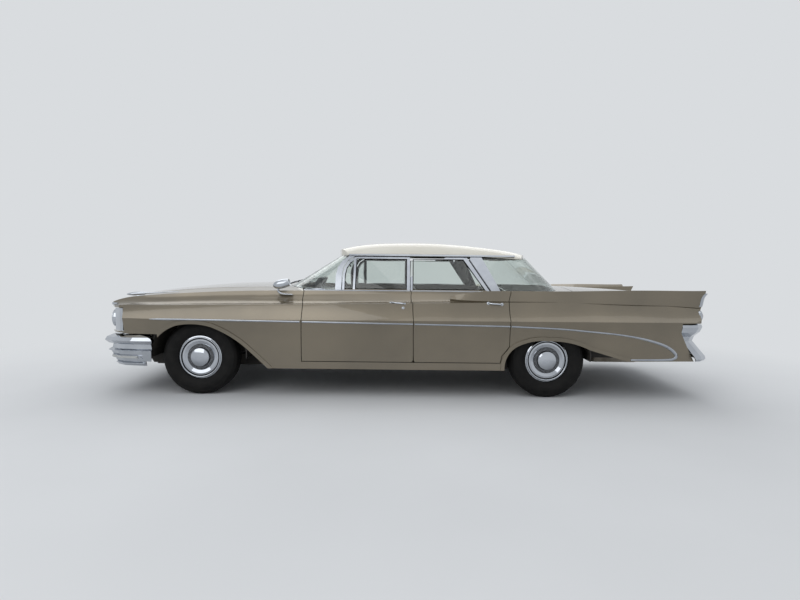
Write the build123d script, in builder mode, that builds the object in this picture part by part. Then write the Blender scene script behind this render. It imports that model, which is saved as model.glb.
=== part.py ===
"""A full-size 1950s four-door hardtop saloon with a flat, overhanging roof and low twin tail fins.

Frame, in millimetres: +X runs to the tail, +Y to the car's right, +Z up. The origin is on the
ground, midway along and across the car. The right-hand side is drawn and the left-hand side is
its mirror image, as the real panels are. A width written w is measured from the centre line.
"""

from build123d import *
from math import cos, pi, sqrt
import os

os.makedirs("parts", exist_ok=True)

# Wheels and axles
wheelbase = 3099
front_axle_x = -1830
rear_axle_x = front_axle_x + wheelbase
front_track = 1618
rear_track = 1626
tyre_radius = 334
tyre_width = 206
tyre_sides = 52
rim_radius = 178
drum_radius = 138
axle_z = tyre_radius
kingpin_w = 716

# Walls, gaps and levels
skin = 24
shut_gap = 6
glass = 6
rocker_top_z = 316
rocker_bottom_z = 254
arch_lip_width = 34
arch_lip_proud = 7
cabin_half_top = 800
cabin_half_bottom = 850
hood_rear_x = -1182
hood_half = 690
lid_front_x = 1580
lid_half = 590
lid_bottom_z = 748

# Door shut lines, drawn on the outer skin at door_reference_w, lean back toward the skin
door_reference_w = 1021
door_lean = 0.26
door_prism_depth = 460

# Lamps: w and the x of the glass at its middle, on one side
headlamp_places = ((582, -2650), (758, -2638))
headlamp_z = 671
headlamp_radius = 72
lamp_board_x = -2474
tail_lamp_places = (680, 838)
tail_lamp_x = 2596
tail_lamp_z = 745

# Grille: depth behind the nose of its plate, and its fine bars
grille_plate_inset = 34
grille_bar_count = 12
grille_bar_pitch = 13
grille_bar_height = 5

# Number plate holes in both bumpers
plate_hole_spacing = 178
plate_hole_radius = 3.5
plate_pad_half = 170

# Windows: the side glass lies in one leaning plane
sill_w, sill_z = 812, 938
header_w, header_z = 684, 1256
frame_depth = 22

# Body sections: x, crown z, edge w, edge z, ridge w, ridge z, crease w, crease z,
# flank w, flank z, sill w
body_sections = (
    (-2740, 806, 600, 790, 790, 762, 900, 728, 912, 655, 880),
    (-2520, 888, 620, 872, 812, 856, 938, 797, 955, 683, 915),
    (-2250, 930, 640, 912, 835, 886, 962, 803, 986, 684, 940),
    (-1830, 970, 660, 947, 850, 914, 978, 809, 1010, 685, 958),
    (-1150, 990, 680, 962, 862, 936, 985, 819, 1021, 688, 966),
    (-250, 972, 700, 955, 868, 938, 985, 832, 1025, 690, 970),
    (600, 972, 700, 952, 872, 938, 978, 850, 1025, 692, 970),
    (1400, 975, 620, 945, 862, 915, 948, 858, 1020, 694, 966),
    (2100, 950, 600, 915, 845, 885, 918, 842, 1006, 694, 955),
    (2740, 912, 580, 885, 815, 850, 882, 800, 975, 694, 930),
)

# Tail fins: x, tip w, tip z, outer foot w, outer foot z, trough w, trough z
outer_fin_rows = (
    (395, 905, 900, 925, 880, 890, 880),
    (560, 926, 936, 950, 868, 862, 905),
    (1000, 932, 955, 952, 862, 835, 905),
    (1700, 934, 963, 942, 850, 812, 880),
    (2300, 934, 971, 915, 835, 795, 860),
    (2740, 934, 979, 890, 800, 785, 845),
)
inner_fin_rows = (
    (1500, 655, 928, 690, 890, 630, 890),
    (1900, 652, 940, 715, 880, 622, 880),
    (2740, 650, 962, 735, 840, 612, 840),
)

# Nose and tail of the painted body, seen from above: w, front x, rear x
end_rows = (
    (0, -2672, 2676),
    (600, -2652, 2672),
    (800, -2641, 2664),
    (880, -2588, 2655),
    (940, -2520, 2640),
    (985, -2440, 2540),
    (1100, -2300, 2300),
)

# Bumpers, seen from above: w, front x, rear x
bumper_rows = (
    (0, -2717, 2717),
    (500, -2714, 2714),
    (790, -2700, 2700),
    (900, -2672, 2680),
    (968, -2580, 2610),
    (1000, -2400, 2440),
    (1004, -2180, 2400),
)

# Bumper sections, the same all along: z, and the inset from the plan curve
front_bumper_levels = (
    (257, 84), (300, 62), (398, 26), (411, 46), (449, 52), (457, 26), (487, 0), (516, 14), (538, 60),
)
rear_bumper_levels = (
    (343, 40), (352, 9), (368, 0), (392, 4), (450, 42), (520, 86), (562, 74), (604, 40), (648, 26), (670, 32), (680, 58),
)
bumper_wall = 14

# Wheel openings in side view, as arcs through three points
front_arch_points = (
    (-2190, 505), (-2120, 568), (-2010, 624), (-1850, 641), (-1700, 618), (-1530, 532), (-1366, 401),
)
rear_arch_points = (
    (878, 250), (905, 385), (975, 462), (1090, 508), (1260, 519), (1450, 503), (1625, 442),
)

# Roof: x, half width at the drip edge, edge z, crown z
roof_sections = (
    (-690, 600, 1262, 1302),
    (-560, 640, 1268, 1343),
    (-431, 676, 1272, 1371),
    (-53, 698, 1277, 1400),
    (324, 702, 1277, 1396),
    (608, 698, 1271, 1372),
    (860, 694, 1256, 1340),
    (1130, 684, 1244, 1272),
)


def side_prism(outline, w0, w1):
    """A closed outline in side view (x, z), solid from one width to another."""
    with BuildPart() as prism:
        with BuildSketch(Plane.XZ.offset(-w0)):
            with BuildLine():
                Polyline(*outline, close=True)
            make_face()
        extrude(amount=-(w1 - w0))
    return prism.part


def leaning_prism(outline, lean):
    """A side-view outline on the door skin, carried inward and forward by the lean."""
    outer_w = 1120
    shift = lean * (outer_w - door_reference_w)
    with BuildPart() as prism:
        with BuildSketch(Plane.XZ.offset(-outer_w)):
            with BuildLine():
                Polyline(*[(x + shift, z) for x, z in outline], close=True)
            make_face()
        extrude(amount=door_prism_depth * sqrt(1 + lean * lean), dir=(-lean, -1, 0))
    return prism.part


def plan_prism(outline, z0, z1):
    """A closed outline seen from above (x, y), solid from one height to another."""
    with BuildPart() as prism:
        with BuildSketch(Plane.XY.offset(z0)):
            with BuildLine():
                Polyline(*outline, close=True)
            make_face()
        extrude(amount=z1 - z0)
    return prism.part


def cross_prism(outline, x0, x1):
    """A closed outline across the car (y, z), solid from one x to another."""
    with BuildPart() as prism:
        with BuildSketch(Plane.YZ.offset(x0)):
            with BuildLine():
                Polyline(*outline, close=True)
            make_face()
        extrude(amount=x1 - x0)
    return prism.part


def block(x0, x1, y0, y1, z0, z1):
    """A plain box given by its limits."""
    return plan_prism(((x0, y0), (x1, y0), (x1, y1), (x0, y1)), z0, z1)


def both_sides(shape):
    """The right-hand shape and its mirror image."""
    return shape + mirror(shape, about=Plane.XZ, mode=Mode.PRIVATE)


def body_loft(inset, bottom_z):
    """The body below the windows as one closed form, drawn in by an inset for its inside."""
    with BuildPart() as form:
        for x, crown_z, edge_w, edge_z, ridge_w, ridge_z, crease_w, crease_z, flank_w, flank_z, sill_w in body_sections:
            edge = (edge_w - inset * 0.4, edge_z - inset)
            ridge = (ridge_w - inset * 0.9, ridge_z - inset * 0.9)
            crease = (crease_w - inset, crease_z - inset * 0.4)
            flank = (flank_w - inset, flank_z)
            sill = (sill_w - inset, bottom_z)
            with BuildSketch(Plane.YZ.offset(x)):
                with BuildLine():
                    TangentArc((0, crown_z - inset), edge, tangent=(1, 0))
                    Line(edge, ridge)
                    SagittaArc(ridge, crease, -0.16 * (Vector(*crease) - Vector(*ridge)).length)
                    SagittaArc(crease, flank, -0.05 * (Vector(*flank) - Vector(*crease)).length)
                    SagittaArc(flank, sill, -0.045 * (Vector(*sill) - Vector(*flank)).length)
                    Line(sill, (0, bottom_z))
                    mirror(about=Plane.YZ)
                make_face()
        loft()
    return form.part


def fin_loft(rows, drop):
    """One tail fin on the right-hand side: a blade that grows out of the shoulder."""
    with BuildPart() as fin:
        for x, tip_w, tip_z, foot_w, foot_z, trough_w, trough_z in rows:
            with BuildSketch(Plane.YZ.offset(x)):
                with BuildLine():
                    Polyline(
                        (foot_w, foot_z),
                        (tip_w + 5, tip_z),
                        (tip_w - 5, tip_z),
                        (trough_w, trough_z),
                        (trough_w, foot_z - drop),
                        (foot_w - 25, foot_z - drop),
                        close=True,
                    )
                make_face()
        loft()
    return fin.part


def end_outline(rows, inset):
    """The plan outline of nose and tail from rows of w, front x and rear x, drawn in by an inset."""
    drawn = [(max(w - inset * 0.9, 0), front + inset, rear - inset) for w, front, rear in rows]
    right = [(front, w) for w, front, rear in drawn]
    right += [(rear, w) for w, front, rear in reversed(drawn)]
    left = [(rear, -w) for w, front, rear in drawn[1:]]
    left += [(front, -w) for w, front, rear in reversed(drawn[1:])]
    return right + left


def arch_prism(points, closing, w0, w1, margin=0):
    """A wheel opening: arcs through the listed points, closed below by straight lines."""
    with BuildPart() as opening:
        with BuildSketch(Plane.XZ.offset(-w0)):
            with BuildLine():
                for i in range(0, len(points) - 2, 2):
                    ThreePointArc(points[i], points[i + 1], points[i + 2])
                Polyline(points[-1], *closing, points[0])
            make_face()
            if margin:
                offset(amount=margin)
        extrude(amount=-(w1 - w0))
    return opening.part


def plan_stack(rows, levels, extra=0):
    """A form whose plan outline steps in and out with height, from levels of z and inset."""
    with BuildPart() as form:
        for z, inset in levels:
            with BuildSketch(Plane.XY.offset(z)):
                with BuildLine():
                    Polyline(*end_outline(rows, inset + extra), close=True)
                make_face()
        loft(ruled=True)
    return form.part


front_arch_closing = ((-1192, 240), (-2215, 240))
rear_arch_closing = ((1960, 342), (1960, 240))
front_arch = arch_prism(front_arch_points, front_arch_closing, 560, 1100)
rear_arch = arch_prism(rear_arch_points, rear_arch_closing, 640, 1100)
front_arch_outer = arch_prism(front_arch_points, front_arch_closing, 700, 1100, arch_lip_width)
rear_arch_outer = arch_prism(rear_arch_points, rear_arch_closing, 700, 1100, arch_lip_width)

# The whole lower body, outside and inside, cut to the nose and tail seen from above
tail_profile = ((2560, 345), (2425, 600), (2425, 683), (2600, 686), (2606, 780), (2626, 812), (2637, 916),
                (2680, 985), (2900, 985), (2900, 200), (2560, 200))
tail_cut = side_prism(tail_profile, -1100, 1100)
inner_tail_cut = side_prism([(x - skin, z) for x, z in tail_profile[3:9]] + [(2900, 662), (2580, 662)], -1100, 1100)
nose_under_cut = side_prism(((-2900, 200), (-2900, 556), (-2500, 556), (-2470, 545), (-2180, 545), (-2180, 200)),
                            -1100, 1100)
quarter_under_cut = side_prism(((1940, 200), (1940, 342), (2600, 345), (2600, 200)), -1100, 1100)
grille_pocket = plan_prism(((-2900, 58), (-2900, 1100), (-2498, 1100), (-2478, 860), (-2478, 58)), 566, 776)

outer_body = body_loft(0, rocker_bottom_z) & plan_prism(end_outline(end_rows, 0), 200, 1100)
outer_body = outer_body + both_sides(fin_loft(outer_fin_rows, 26)) + both_sides(fin_loft(inner_fin_rows, 26))
outer_body = outer_body & plan_prism(end_outline(end_rows, 0), 200, 1100)
outer_body = outer_body - tail_cut - nose_under_cut - quarter_under_cut
outer_body = outer_body - both_sides(front_arch) - both_sides(rear_arch)
inner_body = (body_loft(skin, 180) & plan_prism(end_outline(end_rows, 30), 100, 1100)) - inner_tail_cut

# Raised lips round the four wheel openings
arch_lips = both_sides((front_arch_outer - front_arch) + (rear_arch_outer - rear_arch))
arch_lips = (arch_lips & body_loft(-arch_lip_proud, rocker_bottom_z)) - nose_under_cut - quarter_under_cut
panel_shell = (outer_body + arch_lips) - inner_body

# Shut lines in side view; the lean is made up for where the skin lies inside the reference
door_bottom_z = rocker_top_z + shut_gap
front_door_outline = ((-862, 1060), (-862, 930), (-880, 851), (-901, 690), (-893, door_bottom_z), (72, door_bottom_z),
                      (82, 334), (84, 380), (82, 450), (67, 690), (71, 850), (90, 940), (90, 1060))
rear_door_outline = ((96, 1060), (96, 940), (77, 850), (73, 690), (88, 450), (90, 380), (92, 334),
                     (102, door_bottom_z), (850, door_bottom_z), (864, 386), (899, 430), (926, 470), (912, 690),
                     (918, 850), (944, 940), (944, 1060))
behind_door_outline = ((950, 1100), (950, 940), (924, 850), (918, 690), (932, 467), (904, 426), (870, 383),
                       (856, 318), (856, 200), (2760, 200), (2760, 1100))
ahead_of_door_outline = ((-868, 1100), (-868, 930), (-886, 851), (-907, 690), (-899, rocker_top_z), (-899, 200),
                         (-2760, 200), (-2760, 1100))

# Hood, hinged along the cowl
with BuildPart() as hood:
    add(panel_shell)
    add(block(-2760, hood_rear_x, -hood_half + 3, hood_half - 3, 782, 1100), mode=Mode.INTERSECT)
hood.part.label = "hood"
export_step(hood.part, "parts/hood.step")

# Front fenders, one on each side of the hood
with BuildPart() as front_fenders:
    add(panel_shell)
    add(both_sides(leaning_prism(ahead_of_door_outline, door_lean) & block(-2760, -800, hood_half + 3, 1100, 200, 1100)),
        mode=Mode.INTERSECT)
    add(both_sides(grille_pocket), mode=Mode.SUBTRACT)
front_fenders.part.label = "front_fenders"
export_step(front_fenders.part, "parts/front_fenders.step")

# Nose panel below the hood: the board that carries the lamps, and the painted divider of the grille
divider_outline = ((-2668, 0), (-2656, 34), (-2600, 52), (lamp_board_x, 60))
divider_outline = divider_outline + tuple((x, -w) for x, w in reversed(divider_outline[1:]))
with BuildPart() as nose_panel:
    add(panel_shell)
    add(block(-2760, -2440, -hood_half - 3, hood_half + 3, 540, 776), mode=Mode.INTERSECT)
    add(both_sides(grille_pocket), mode=Mode.SUBTRACT)
    add(block(lamp_board_x, lamp_board_x + 12, -815, 815, 545, 776))
    add(block(lamp_board_x, lamp_board_x + 12, -740, 740, 300, 545))
    add(both_sides(block(lamp_board_x - 10, lamp_board_x + 30, 335, 410, 290, 472)), mode=Mode.SUBTRACT)
    add(plan_prism(divider_outline, 566, 776))
nose_panel.part.label = "nose_panel"
export_step(nose_panel.part, "parts/nose_panel.step")

# Cowl between hood and windscreen, open behind the glass, with its arms under the ends of the glass
cowl_opening = plan_prism(((-1030, -480), (-960, -640), (-800, -730), (-630, -740), (-630, 740), (-800, 730),
                           (-960, 640), (-1030, 480)), 840, 1100)
with BuildPart() as cowl_panel:
    add(panel_shell)
    add(plan_prism(((hood_rear_x + shut_gap, -690), (-903, -690), (-903, -786), (-640, -786),
                    (-640, 786), (-903, 786), (-903, 690), (hood_rear_x + shut_gap, 690)), 850, 1100),
        mode=Mode.INTERSECT)
    add(cowl_opening, mode=Mode.SUBTRACT)
cowl_panel.part.label = "cowl_panel"
export_step(cowl_panel.part, "parts/cowl_panel.step")

# Doors: each is the full depth between the outer skin and the cabin's inner face
cabin_block = cross_prism(
    ((-cabin_half_top, 1100), (cabin_half_top, 1100), (cabin_half_top, 940), (cabin_half_bottom, rocker_top_z),
     (cabin_half_bottom, 200), (-cabin_half_bottom, 200), (-cabin_half_bottom, rocker_top_z),
     (-cabin_half_top, 940)), -1500, 1500)


def door_panel(outline):
    """The lower part of a right-hand door."""
    return (outer_body & leaning_prism(outline, door_lean)) - cabin_block


front_door_lower = door_panel(front_door_outline)
rear_door_lower = door_panel(rear_door_outline)

# Window frames lie in the leaning plane of the side glass
glass_lean = (sill_w - header_w) / (header_z - sill_z)


def window_slab(outline, depth):
    """A side-view outline as a slab of one depth in the leaning plane of the side glass."""
    half = depth / 2
    low_z, high_z = 880, 1320
    low_w = sill_w + (sill_z - low_z) * glass_lean
    high_w = sill_w + (sill_z - high_z) * glass_lean
    lean_band = cross_prism(((low_w - half, low_z), (low_w + half, low_z), (high_w + half, high_z),
                             (high_w - half, high_z)), -1200, 1400)
    return side_prism(outline, 560, 900) & lean_band


def upright_band(foot_x, head_x, slope, ahead):
    """The half of space ahead of, or behind, a leaning upright whose faces slope in plan."""
    foot = Vector(foot_x, sill_w, sill_z)
    head = Vector(head_x, header_w, header_z)
    along = (head - foot).normalized()
    across = Vector(1, 0, 0) - along * along.X
    band_plane = Plane(origin=foot - along * 160, x_dir=across, z_dir=along)
    side = -1 if ahead else 1
    outward = 1 if band_plane.y_dir.Y > 0 else -1
    with BuildPart() as band:
        with BuildSketch(band_plane):
            with BuildLine():
                Polyline(
                    (-slope * 90, -90 * outward),
                    (slope * 90, 90 * outward),
                    (side * 1400, 90 * outward),
                    (side * 1400, -90 * outward),
                    close=True,
                )
            make_face()
        extrude(amount=640)
    return band.part


front_frame_outer = ((-571, 925), (-571, 1080), (-556, 1150), (-520, 1205), (-462, 1243), (-420, 1250), (60, 1250),
                     (60, 925))
front_vent_hole = ((-551, 952), (-551, 1078), (-538, 1142), (-508, 1190), (-472, 1216), (-474, 952))
front_glass_hole = ((-456, 952), (-450, 1231), (14, 1231), (13, 952))
rear_frame_outer = ((20, 925), (20, 1250), (640, 1250), (860, 925))
rear_glass_hole = ((64, 952), (66, 1231), (530, 1231), (722, 952))

front_door_frame = window_slab(front_frame_outer, frame_depth) & upright_band(36, 37, 0.42, True)
front_door_frame = front_door_frame - window_slab(front_vent_hole, 60) - window_slab(front_glass_hole, 60)
rear_door_frame = window_slab(rear_frame_outer, frame_depth) & upright_band(42, 43, 0.42, False)
rear_door_frame = rear_door_frame & upright_band(752, 545, 0.75, True)
rear_door_frame = rear_door_frame - window_slab(rear_glass_hole, 60)

with BuildPart() as front_door_right:
    add(front_door_lower)
    add(front_door_frame)
front_door_right.part.label = "front_door_right"
export_step(front_door_right.part, "parts/front_door_right.step")

with BuildPart() as front_door_left:
    add(mirror(front_door_right.part, about=Plane.XZ))
front_door_left.part.label = "front_door_left"
export_step(front_door_left.part, "parts/front_door_left.step")

with BuildPart() as rear_door_right:
    add(rear_door_lower)
    add(rear_door_frame)
rear_door_right.part.label = "rear_door_right"
export_step(rear_door_right.part, "parts/rear_door_right.step")

with BuildPart() as rear_door_left:
    add(mirror(rear_door_right.part, about=Plane.XZ))
rear_door_left.part.label = "rear_door_left"
export_step(rear_door_left.part, "parts/rear_door_left.step")

# Side glass
with BuildPart() as front_glass_right:
    add(window_slab(front_vent_hole, glass))
    add(window_slab(front_glass_hole, glass))
front_glass_right.part.label = "front_glass_right"
export_step(front_glass_right.part, "parts/front_glass_right.step")

with BuildPart() as front_glass_left:
    add(mirror(front_glass_right.part, about=Plane.XZ))
front_glass_left.part.label = "front_glass_left"
export_step(front_glass_left.part, "parts/front_glass_left.step")

with BuildPart() as rear_glass_right:
    add(window_slab(rear_glass_hole, glass))
rear_glass_right.part.label = "rear_glass_right"
export_step(rear_glass_right.part, "parts/rear_glass_right.step")

with BuildPart() as rear_glass_left:
    add(mirror(rear_glass_right.part, about=Plane.XZ))
rear_glass_left.part.label = "rear_glass_left"
export_step(rear_glass_left.part, "parts/rear_glass_left.step")

# Rear quarters, the deck that joins them under the rear window, and the tail panel below the lid
behind_doors = leaning_prism(behind_door_outline, door_lean)
with BuildPart() as rear_quarters:
    add(panel_shell)
    add(both_sides(behind_doors + block(1500, 2760, lid_half + shut_gap, 760, 600, 1100))
        + block(880, lid_front_x - shut_gap, -760, 760, 850, 1100), mode=Mode.INTERSECT)
    add(block(lid_front_x - shut_gap, 2760, -lid_half - shut_gap, lid_half + shut_gap, 200, 1100), mode=Mode.SUBTRACT)
    add(block(600, 905, -800, 800, 800, 1100), mode=Mode.SUBTRACT)
    add(panel_shell & block(2400, 2760, -lid_half - shut_gap, lid_half + shut_gap, 600, lid_bottom_z - shut_gap))
    add(block(2412, 2424, -lid_half - 40, lid_half + 40, 345, 690))
    add(both_sides(block(2400, 2440, 466, 544, 300, 402)), mode=Mode.SUBTRACT)
rear_quarters.part.label = "rear_quarters"
export_step(rear_quarters.part, "parts/rear_quarters.step")

# Boot lid, hinged along its front edge
with BuildPart() as boot_lid:
    add(panel_shell)
    add(block(lid_front_x, 2760, -lid_half, lid_half, lid_bottom_z, 1100), mode=Mode.INTERSECT)
boot_lid.part.label = "boot_lid"
export_step(boot_lid.part, "parts/boot_lid.step")

# Rocker panels below the doors
with BuildPart() as rocker_panels:
    add(outer_body)
    add(both_sides(block(-1185, 850, cabin_half_top, 1100, 240, rocker_top_z)), mode=Mode.INTERSECT)
    add(front_fenders.part, mode=Mode.SUBTRACT)
    add(rear_quarters.part, mode=Mode.SUBTRACT)
rocker_panels.part.label = "rocker_panels"
export_step(rocker_panels.part, "parts/rocker_panels.step")

# Floor, firewall, inner arches and boot floor in one welded tub
floor_profile = (
    (-1160, 302), (800, 302), (830, 520), (1700, 520), (1730, 402), (2400, 402), (2400, 412), (1736, 412),
    (1706, 530), (822, 530), (792, 312), (-1148, 312), (-1148, 840), (-1160, 840),
)


def wheel_housing(axle_x, radius, w0, w1):
    """Half a drum over a wheel, closed on its inner side."""
    with BuildPart() as housing:
        with BuildSketch(Plane.XZ.offset(-w0)):
            with BuildLine():
                Polyline((axle_x - radius, 400), (axle_x - radius, axle_z), (axle_x + radius, axle_z),
                         (axle_x + radius, 400))
                ThreePointArc((axle_x - radius, 400), (axle_x, 400 + radius * 0.86), (axle_x + radius, 400))
            make_face()
        extrude(amount=-(w1 - w0))
    return housing.part


rear_housing = wheel_housing(rear_axle_x, 380, 652, 935) - wheel_housing(rear_axle_x, 372, 660, 940)
front_housing = wheel_housing(front_axle_x, 430, 480, 935) - wheel_housing(front_axle_x, 422, 488, 940)
tunnel_outer = cross_prism(((-170, 302), (-130, 440), (130, 440), (170, 302)), -1160, 790)
tunnel_inner = cross_prism(((-160, 290), (-122, 430), (122, 430), (160, 290)), -1170, 800)
with BuildPart() as floor_pan:
    add(side_prism(floor_profile, -cabin_half_top, cabin_half_top))
    add(both_sides(wheel_housing(rear_axle_x, 376, 656, 960)), mode=Mode.SUBTRACT)
    add(tunnel_outer)
    add(tunnel_inner, mode=Mode.SUBTRACT)
    add(both_sides(rear_housing & inner_body))
    add(both_sides(block(-2440, -1150, 480, 488, 420, 800) - wheel_housing(front_axle_x, 426, 470, 500)))
    add(both_sides(front_housing & inner_body))
    add(both_sides(block(-1950, -1710, 470, 500, 320, 508)), mode=Mode.SUBTRACT)
    add(block(780, 860, -60, 60, 250, 345), mode=Mode.SUBTRACT)
    add(both_sides(block(rear_axle_x - 60, rear_axle_x + 60, 640, 670, 300, 410)), mode=Mode.SUBTRACT)
floor_pan.part.label = "floor_pan"
export_step(floor_pan.part, "parts/floor_pan.step")


def bumper_shell(levels, limits, end_block):
    """A pressed bumper, open behind, from its levels, its side-view limits and its closed end."""
    outer = plan_stack(bumper_rows, levels)
    inner_levels = [(z, inset + bumper_wall) for z, inset in levels]
    inner_levels[0] = (levels[0][0] - 20, inner_levels[0][1])
    inner_levels[-1] = (levels[-1][0] - bumper_wall, inner_levels[-1][1])
    shell = outer - (plan_stack(bumper_rows, inner_levels) & end_block)
    shell = shell & side_prism(limits, -1100, 1100)
    return shell - plan_prism(end_outline(bumper_rows, 170), 100, 900)


# Front bumper: a pointed blade over a hollow neck and a skirt, with a framed lamp bar at each end
front_bumper_limits = ((-2800, 240), (-2800, 560), (-2482, 560), (-2260, 522), (-2226, 506), (-2212, 484), (-2222, 462),
                       (-2238, 452), (-2226, 405), (-2250, 240))
lamp_recess = both_sides(side_prism(((-2700, 284), (-2700, 392), (-2286, 392), (-2304, 284)), 600, 1100))
lamp_bar = both_sides(side_prism(((-2700, 322), (-2700, 352), (-2318, 352), (-2332, 337), (-2318, 322)), 640, 1100))
recess_depth = 9
with BuildPart() as front_bumper:
    add(bumper_shell(front_bumper_levels, front_bumper_limits, block(-2800, -2268, -1100, 1100, 100, 900)))
    add(lamp_recess - plan_stack(bumper_rows, front_bumper_levels, recess_depth), mode=Mode.SUBTRACT)
    add(lamp_bar & (plan_stack(bumper_rows, front_bumper_levels, 1)
                    - plan_stack(bumper_rows, front_bumper_levels, recess_depth + 2)))
    add(block(-2676, -2640, -plate_pad_half, plate_pad_half, 290, 388))
    add(both_sides(block(-2290, -2100, 700, 945, 200, 600)), mode=Mode.SUBTRACT)
    with Locations((-2658, plate_hole_spacing / 2, 345), (-2658, -plate_hole_spacing / 2, 345)):
        Cylinder(plate_hole_radius, 80, rotation=(0, 90, 0), mode=Mode.SUBTRACT)
front_bumper.part.label = "front_bumper"
export_step(front_bumper.part, "parts/front_bumper.step")

# Rear bumper: a rail under the tail, a hollow waist and a flared lower blade
rear_bumper_limits = ((2434, 700), (2428, 600), (2572, 335), (2800, 335), (2800, 700))
with BuildPart() as rear_bumper:
    add(bumper_shell(rear_bumper_levels, rear_bumper_limits, block(2452, 2800, -1100, 1100, 100, 900)))
    add(block(2612, 2650, -plate_pad_half, plate_pad_half, 468, 594))
    with Locations((2626, plate_hole_spacing / 2, 560), (2626, -plate_hole_spacing / 2, 560)):
        Cylinder(plate_hole_radius, 80, rotation=(0, 90, 0), mode=Mode.SUBTRACT)
rear_bumper.part.label = "rear_bumper"
export_step(rear_bumper.part, "parts/rear_bumper.step")

# Frame rails and cross members
with BuildPart() as chassis_frame:
    add(both_sides(plan_prism(((-2420, 330), (-1300, 330), (-900, 560), (600, 560), (900, 470), (960, 470),
                               (960, 540), (930, 540), (630, 640), (-930, 640), (-1330, 410), (-2420, 410)),
                              190, 292)))
    add(both_sides(side_prism(((900, 190), (900, 292), (1050, 470), (1480, 470), (1650, 396), (2330, 396), (2330, 310),
                               (1650, 310), (1440, 390), (1090, 390), (980, 190)), 470, 540)))
    add(block(-1920, -1740, -340, 340, 190, 292))
    add(block(-2420, -2350, -340, 340, 190, 292))
    add(block(-60, 40, -570, 570, 215, 258))
    add(block(2290, 2330, -480, 480, 310, 396))
    add(both_sides(block(-1900, -1760, 330, 400, 290, 500)))
    add(both_sides(block(-1895, -1765, 395, 565, 442, 458)))
    add(both_sides(side_prism(((-2400, 200), (-2400, 292), (-2560, 448), (-2662, 448), (-2662, 414), (-2580, 404),
                               (-2460, 200)), 345, 400)))
    add(both_sides(side_prism(((2320, 316), (2320, 392), (2700, 396), (2700, 366), (2560, 320)), 478, 532)))
    add(front_bumper.part, mode=Mode.SUBTRACT)
    add(rear_bumper.part, mode=Mode.SUBTRACT)
chassis_frame.part.label = "chassis_frame"
export_step(chassis_frame.part, "parts/chassis_frame.step")


def roof_loft(inset):
    """The roof as a closed form over its sections, drawn in by an inset for its inside."""
    with BuildPart() as form:
        for x, half, edge_z, crown_z in roof_sections:
            rise = crown_z - edge_z
            top = crown_z - inset
            with BuildSketch(Plane.YZ.offset(x)):
                with BuildLine():
                    Line((half - inset, edge_z - 8 - inset * 2), (half - inset, edge_z))
                    ThreePointArc((half - inset, edge_z), (half * 0.925 - inset, edge_z + rise * 0.56 - inset * 0.6),
                                  (half * 0.76, edge_z + rise * 0.80 - inset))
                    ThreePointArc((half * 0.76, edge_z + rise * 0.80 - inset),
                                  (half * 0.38, edge_z + rise * 0.955 - inset), (0, top))
                    Line((half - inset, edge_z - 8 - inset * 2), (0, edge_z - 8 - inset * 2))
                    mirror(about=Plane.YZ)
                make_face()
        loft()
    return form.part


roof_plan = ((-648, 0), (-640, 300), (-600, 540), (-540, 640), (-440, 720), (900, 720), (1060, 690), (1110, 560),
             (1122, 300), (1124, 0))
roof_plan = roof_plan + tuple((x, -w) for x, w in reversed(roof_plan[1:-1]))
roof_outer = roof_loft(0)
roof_inner = roof_loft(18) & plan_prism(tuple((x * 0.975, w * 0.975) for x, w in roof_plan), 1100, 1500)
with BuildPart() as roof_panel:
    add(roof_outer)
    add(plan_prism(roof_plan, 1200, 1500), mode=Mode.INTERSECT)
    add(roof_inner, mode=Mode.SUBTRACT)
roof_panel.part.label = "roof_panel"
export_step(roof_panel.part, "parts/roof_panel.step")

# Pillars: the upright windscreen posts and the slanted rear posts
front_pillar_outline = ((-632, 900), (-632, 1078), (-616, 1150), (-572, 1215), (-500, 1262), (-420, 1262),
                        (-470, 1249), (-528, 1210), (-564, 1152), (-578, 1080), (-578, 900))
rear_pillar_outline = ((600, 1262), (690, 1262), (880, 900), (700, 900), (560, 1180))
front_pillar = window_slab(front_pillar_outline, 40)
rear_pillar = window_slab(rear_pillar_outline, 36) & upright_band(761, 554, 0.75, False)
roof_rail = window_slab(((-520, 1258), (1000, 1258), (1000, 1272), (-520, 1272)), 60)
with BuildPart() as pillars:
    add(both_sides(front_pillar + rear_pillar + roof_rail))
    add(outer_body, mode=Mode.SUBTRACT)
    add(roof_panel.part, mode=Mode.SUBTRACT)
pillars.part.label = "pillars"
export_step(pillars.part, "parts/pillars.step")


def wrapped_glass(low_rows, low_z, high_rows, high_z, inset):
    """A wrap-round window as a closed form between a low and a high plan curve."""
    with BuildPart() as form:
        for rows, z in ((low_rows, low_z), (high_rows, high_z)):
            (x0, w0), (x1, w1), (x2, w2), (x3, w3), (x4, w4) = rows
            side = 1 if x0 > x2 else -1
            with BuildSketch(Plane.XY.offset(z)):
                with BuildLine():
                    Line((x0, w0 - inset), (x1, w1 - inset))
                    ThreePointArc((x1, w1 - inset), (x2 + side * inset * 0.7, w2 - inset * 0.7), (x3 + side * inset, w3))
                    ThreePointArc((x3 + side * inset, w3), (x4 + side * inset, 0), (x3 + side * inset, -w3))
                    ThreePointArc((x3 + side * inset, -w3), (x2 + side * inset * 0.7, -w2 + inset * 0.7),
                                  (x1, -w1 + inset))
                    Line((x1, -w1 + inset), (x0, -w0 + inset))
                    Line((x0, -w0 + inset), (x0, w0 - inset))
                make_face()
        loft(ruled=True)
    return form.part


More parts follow.
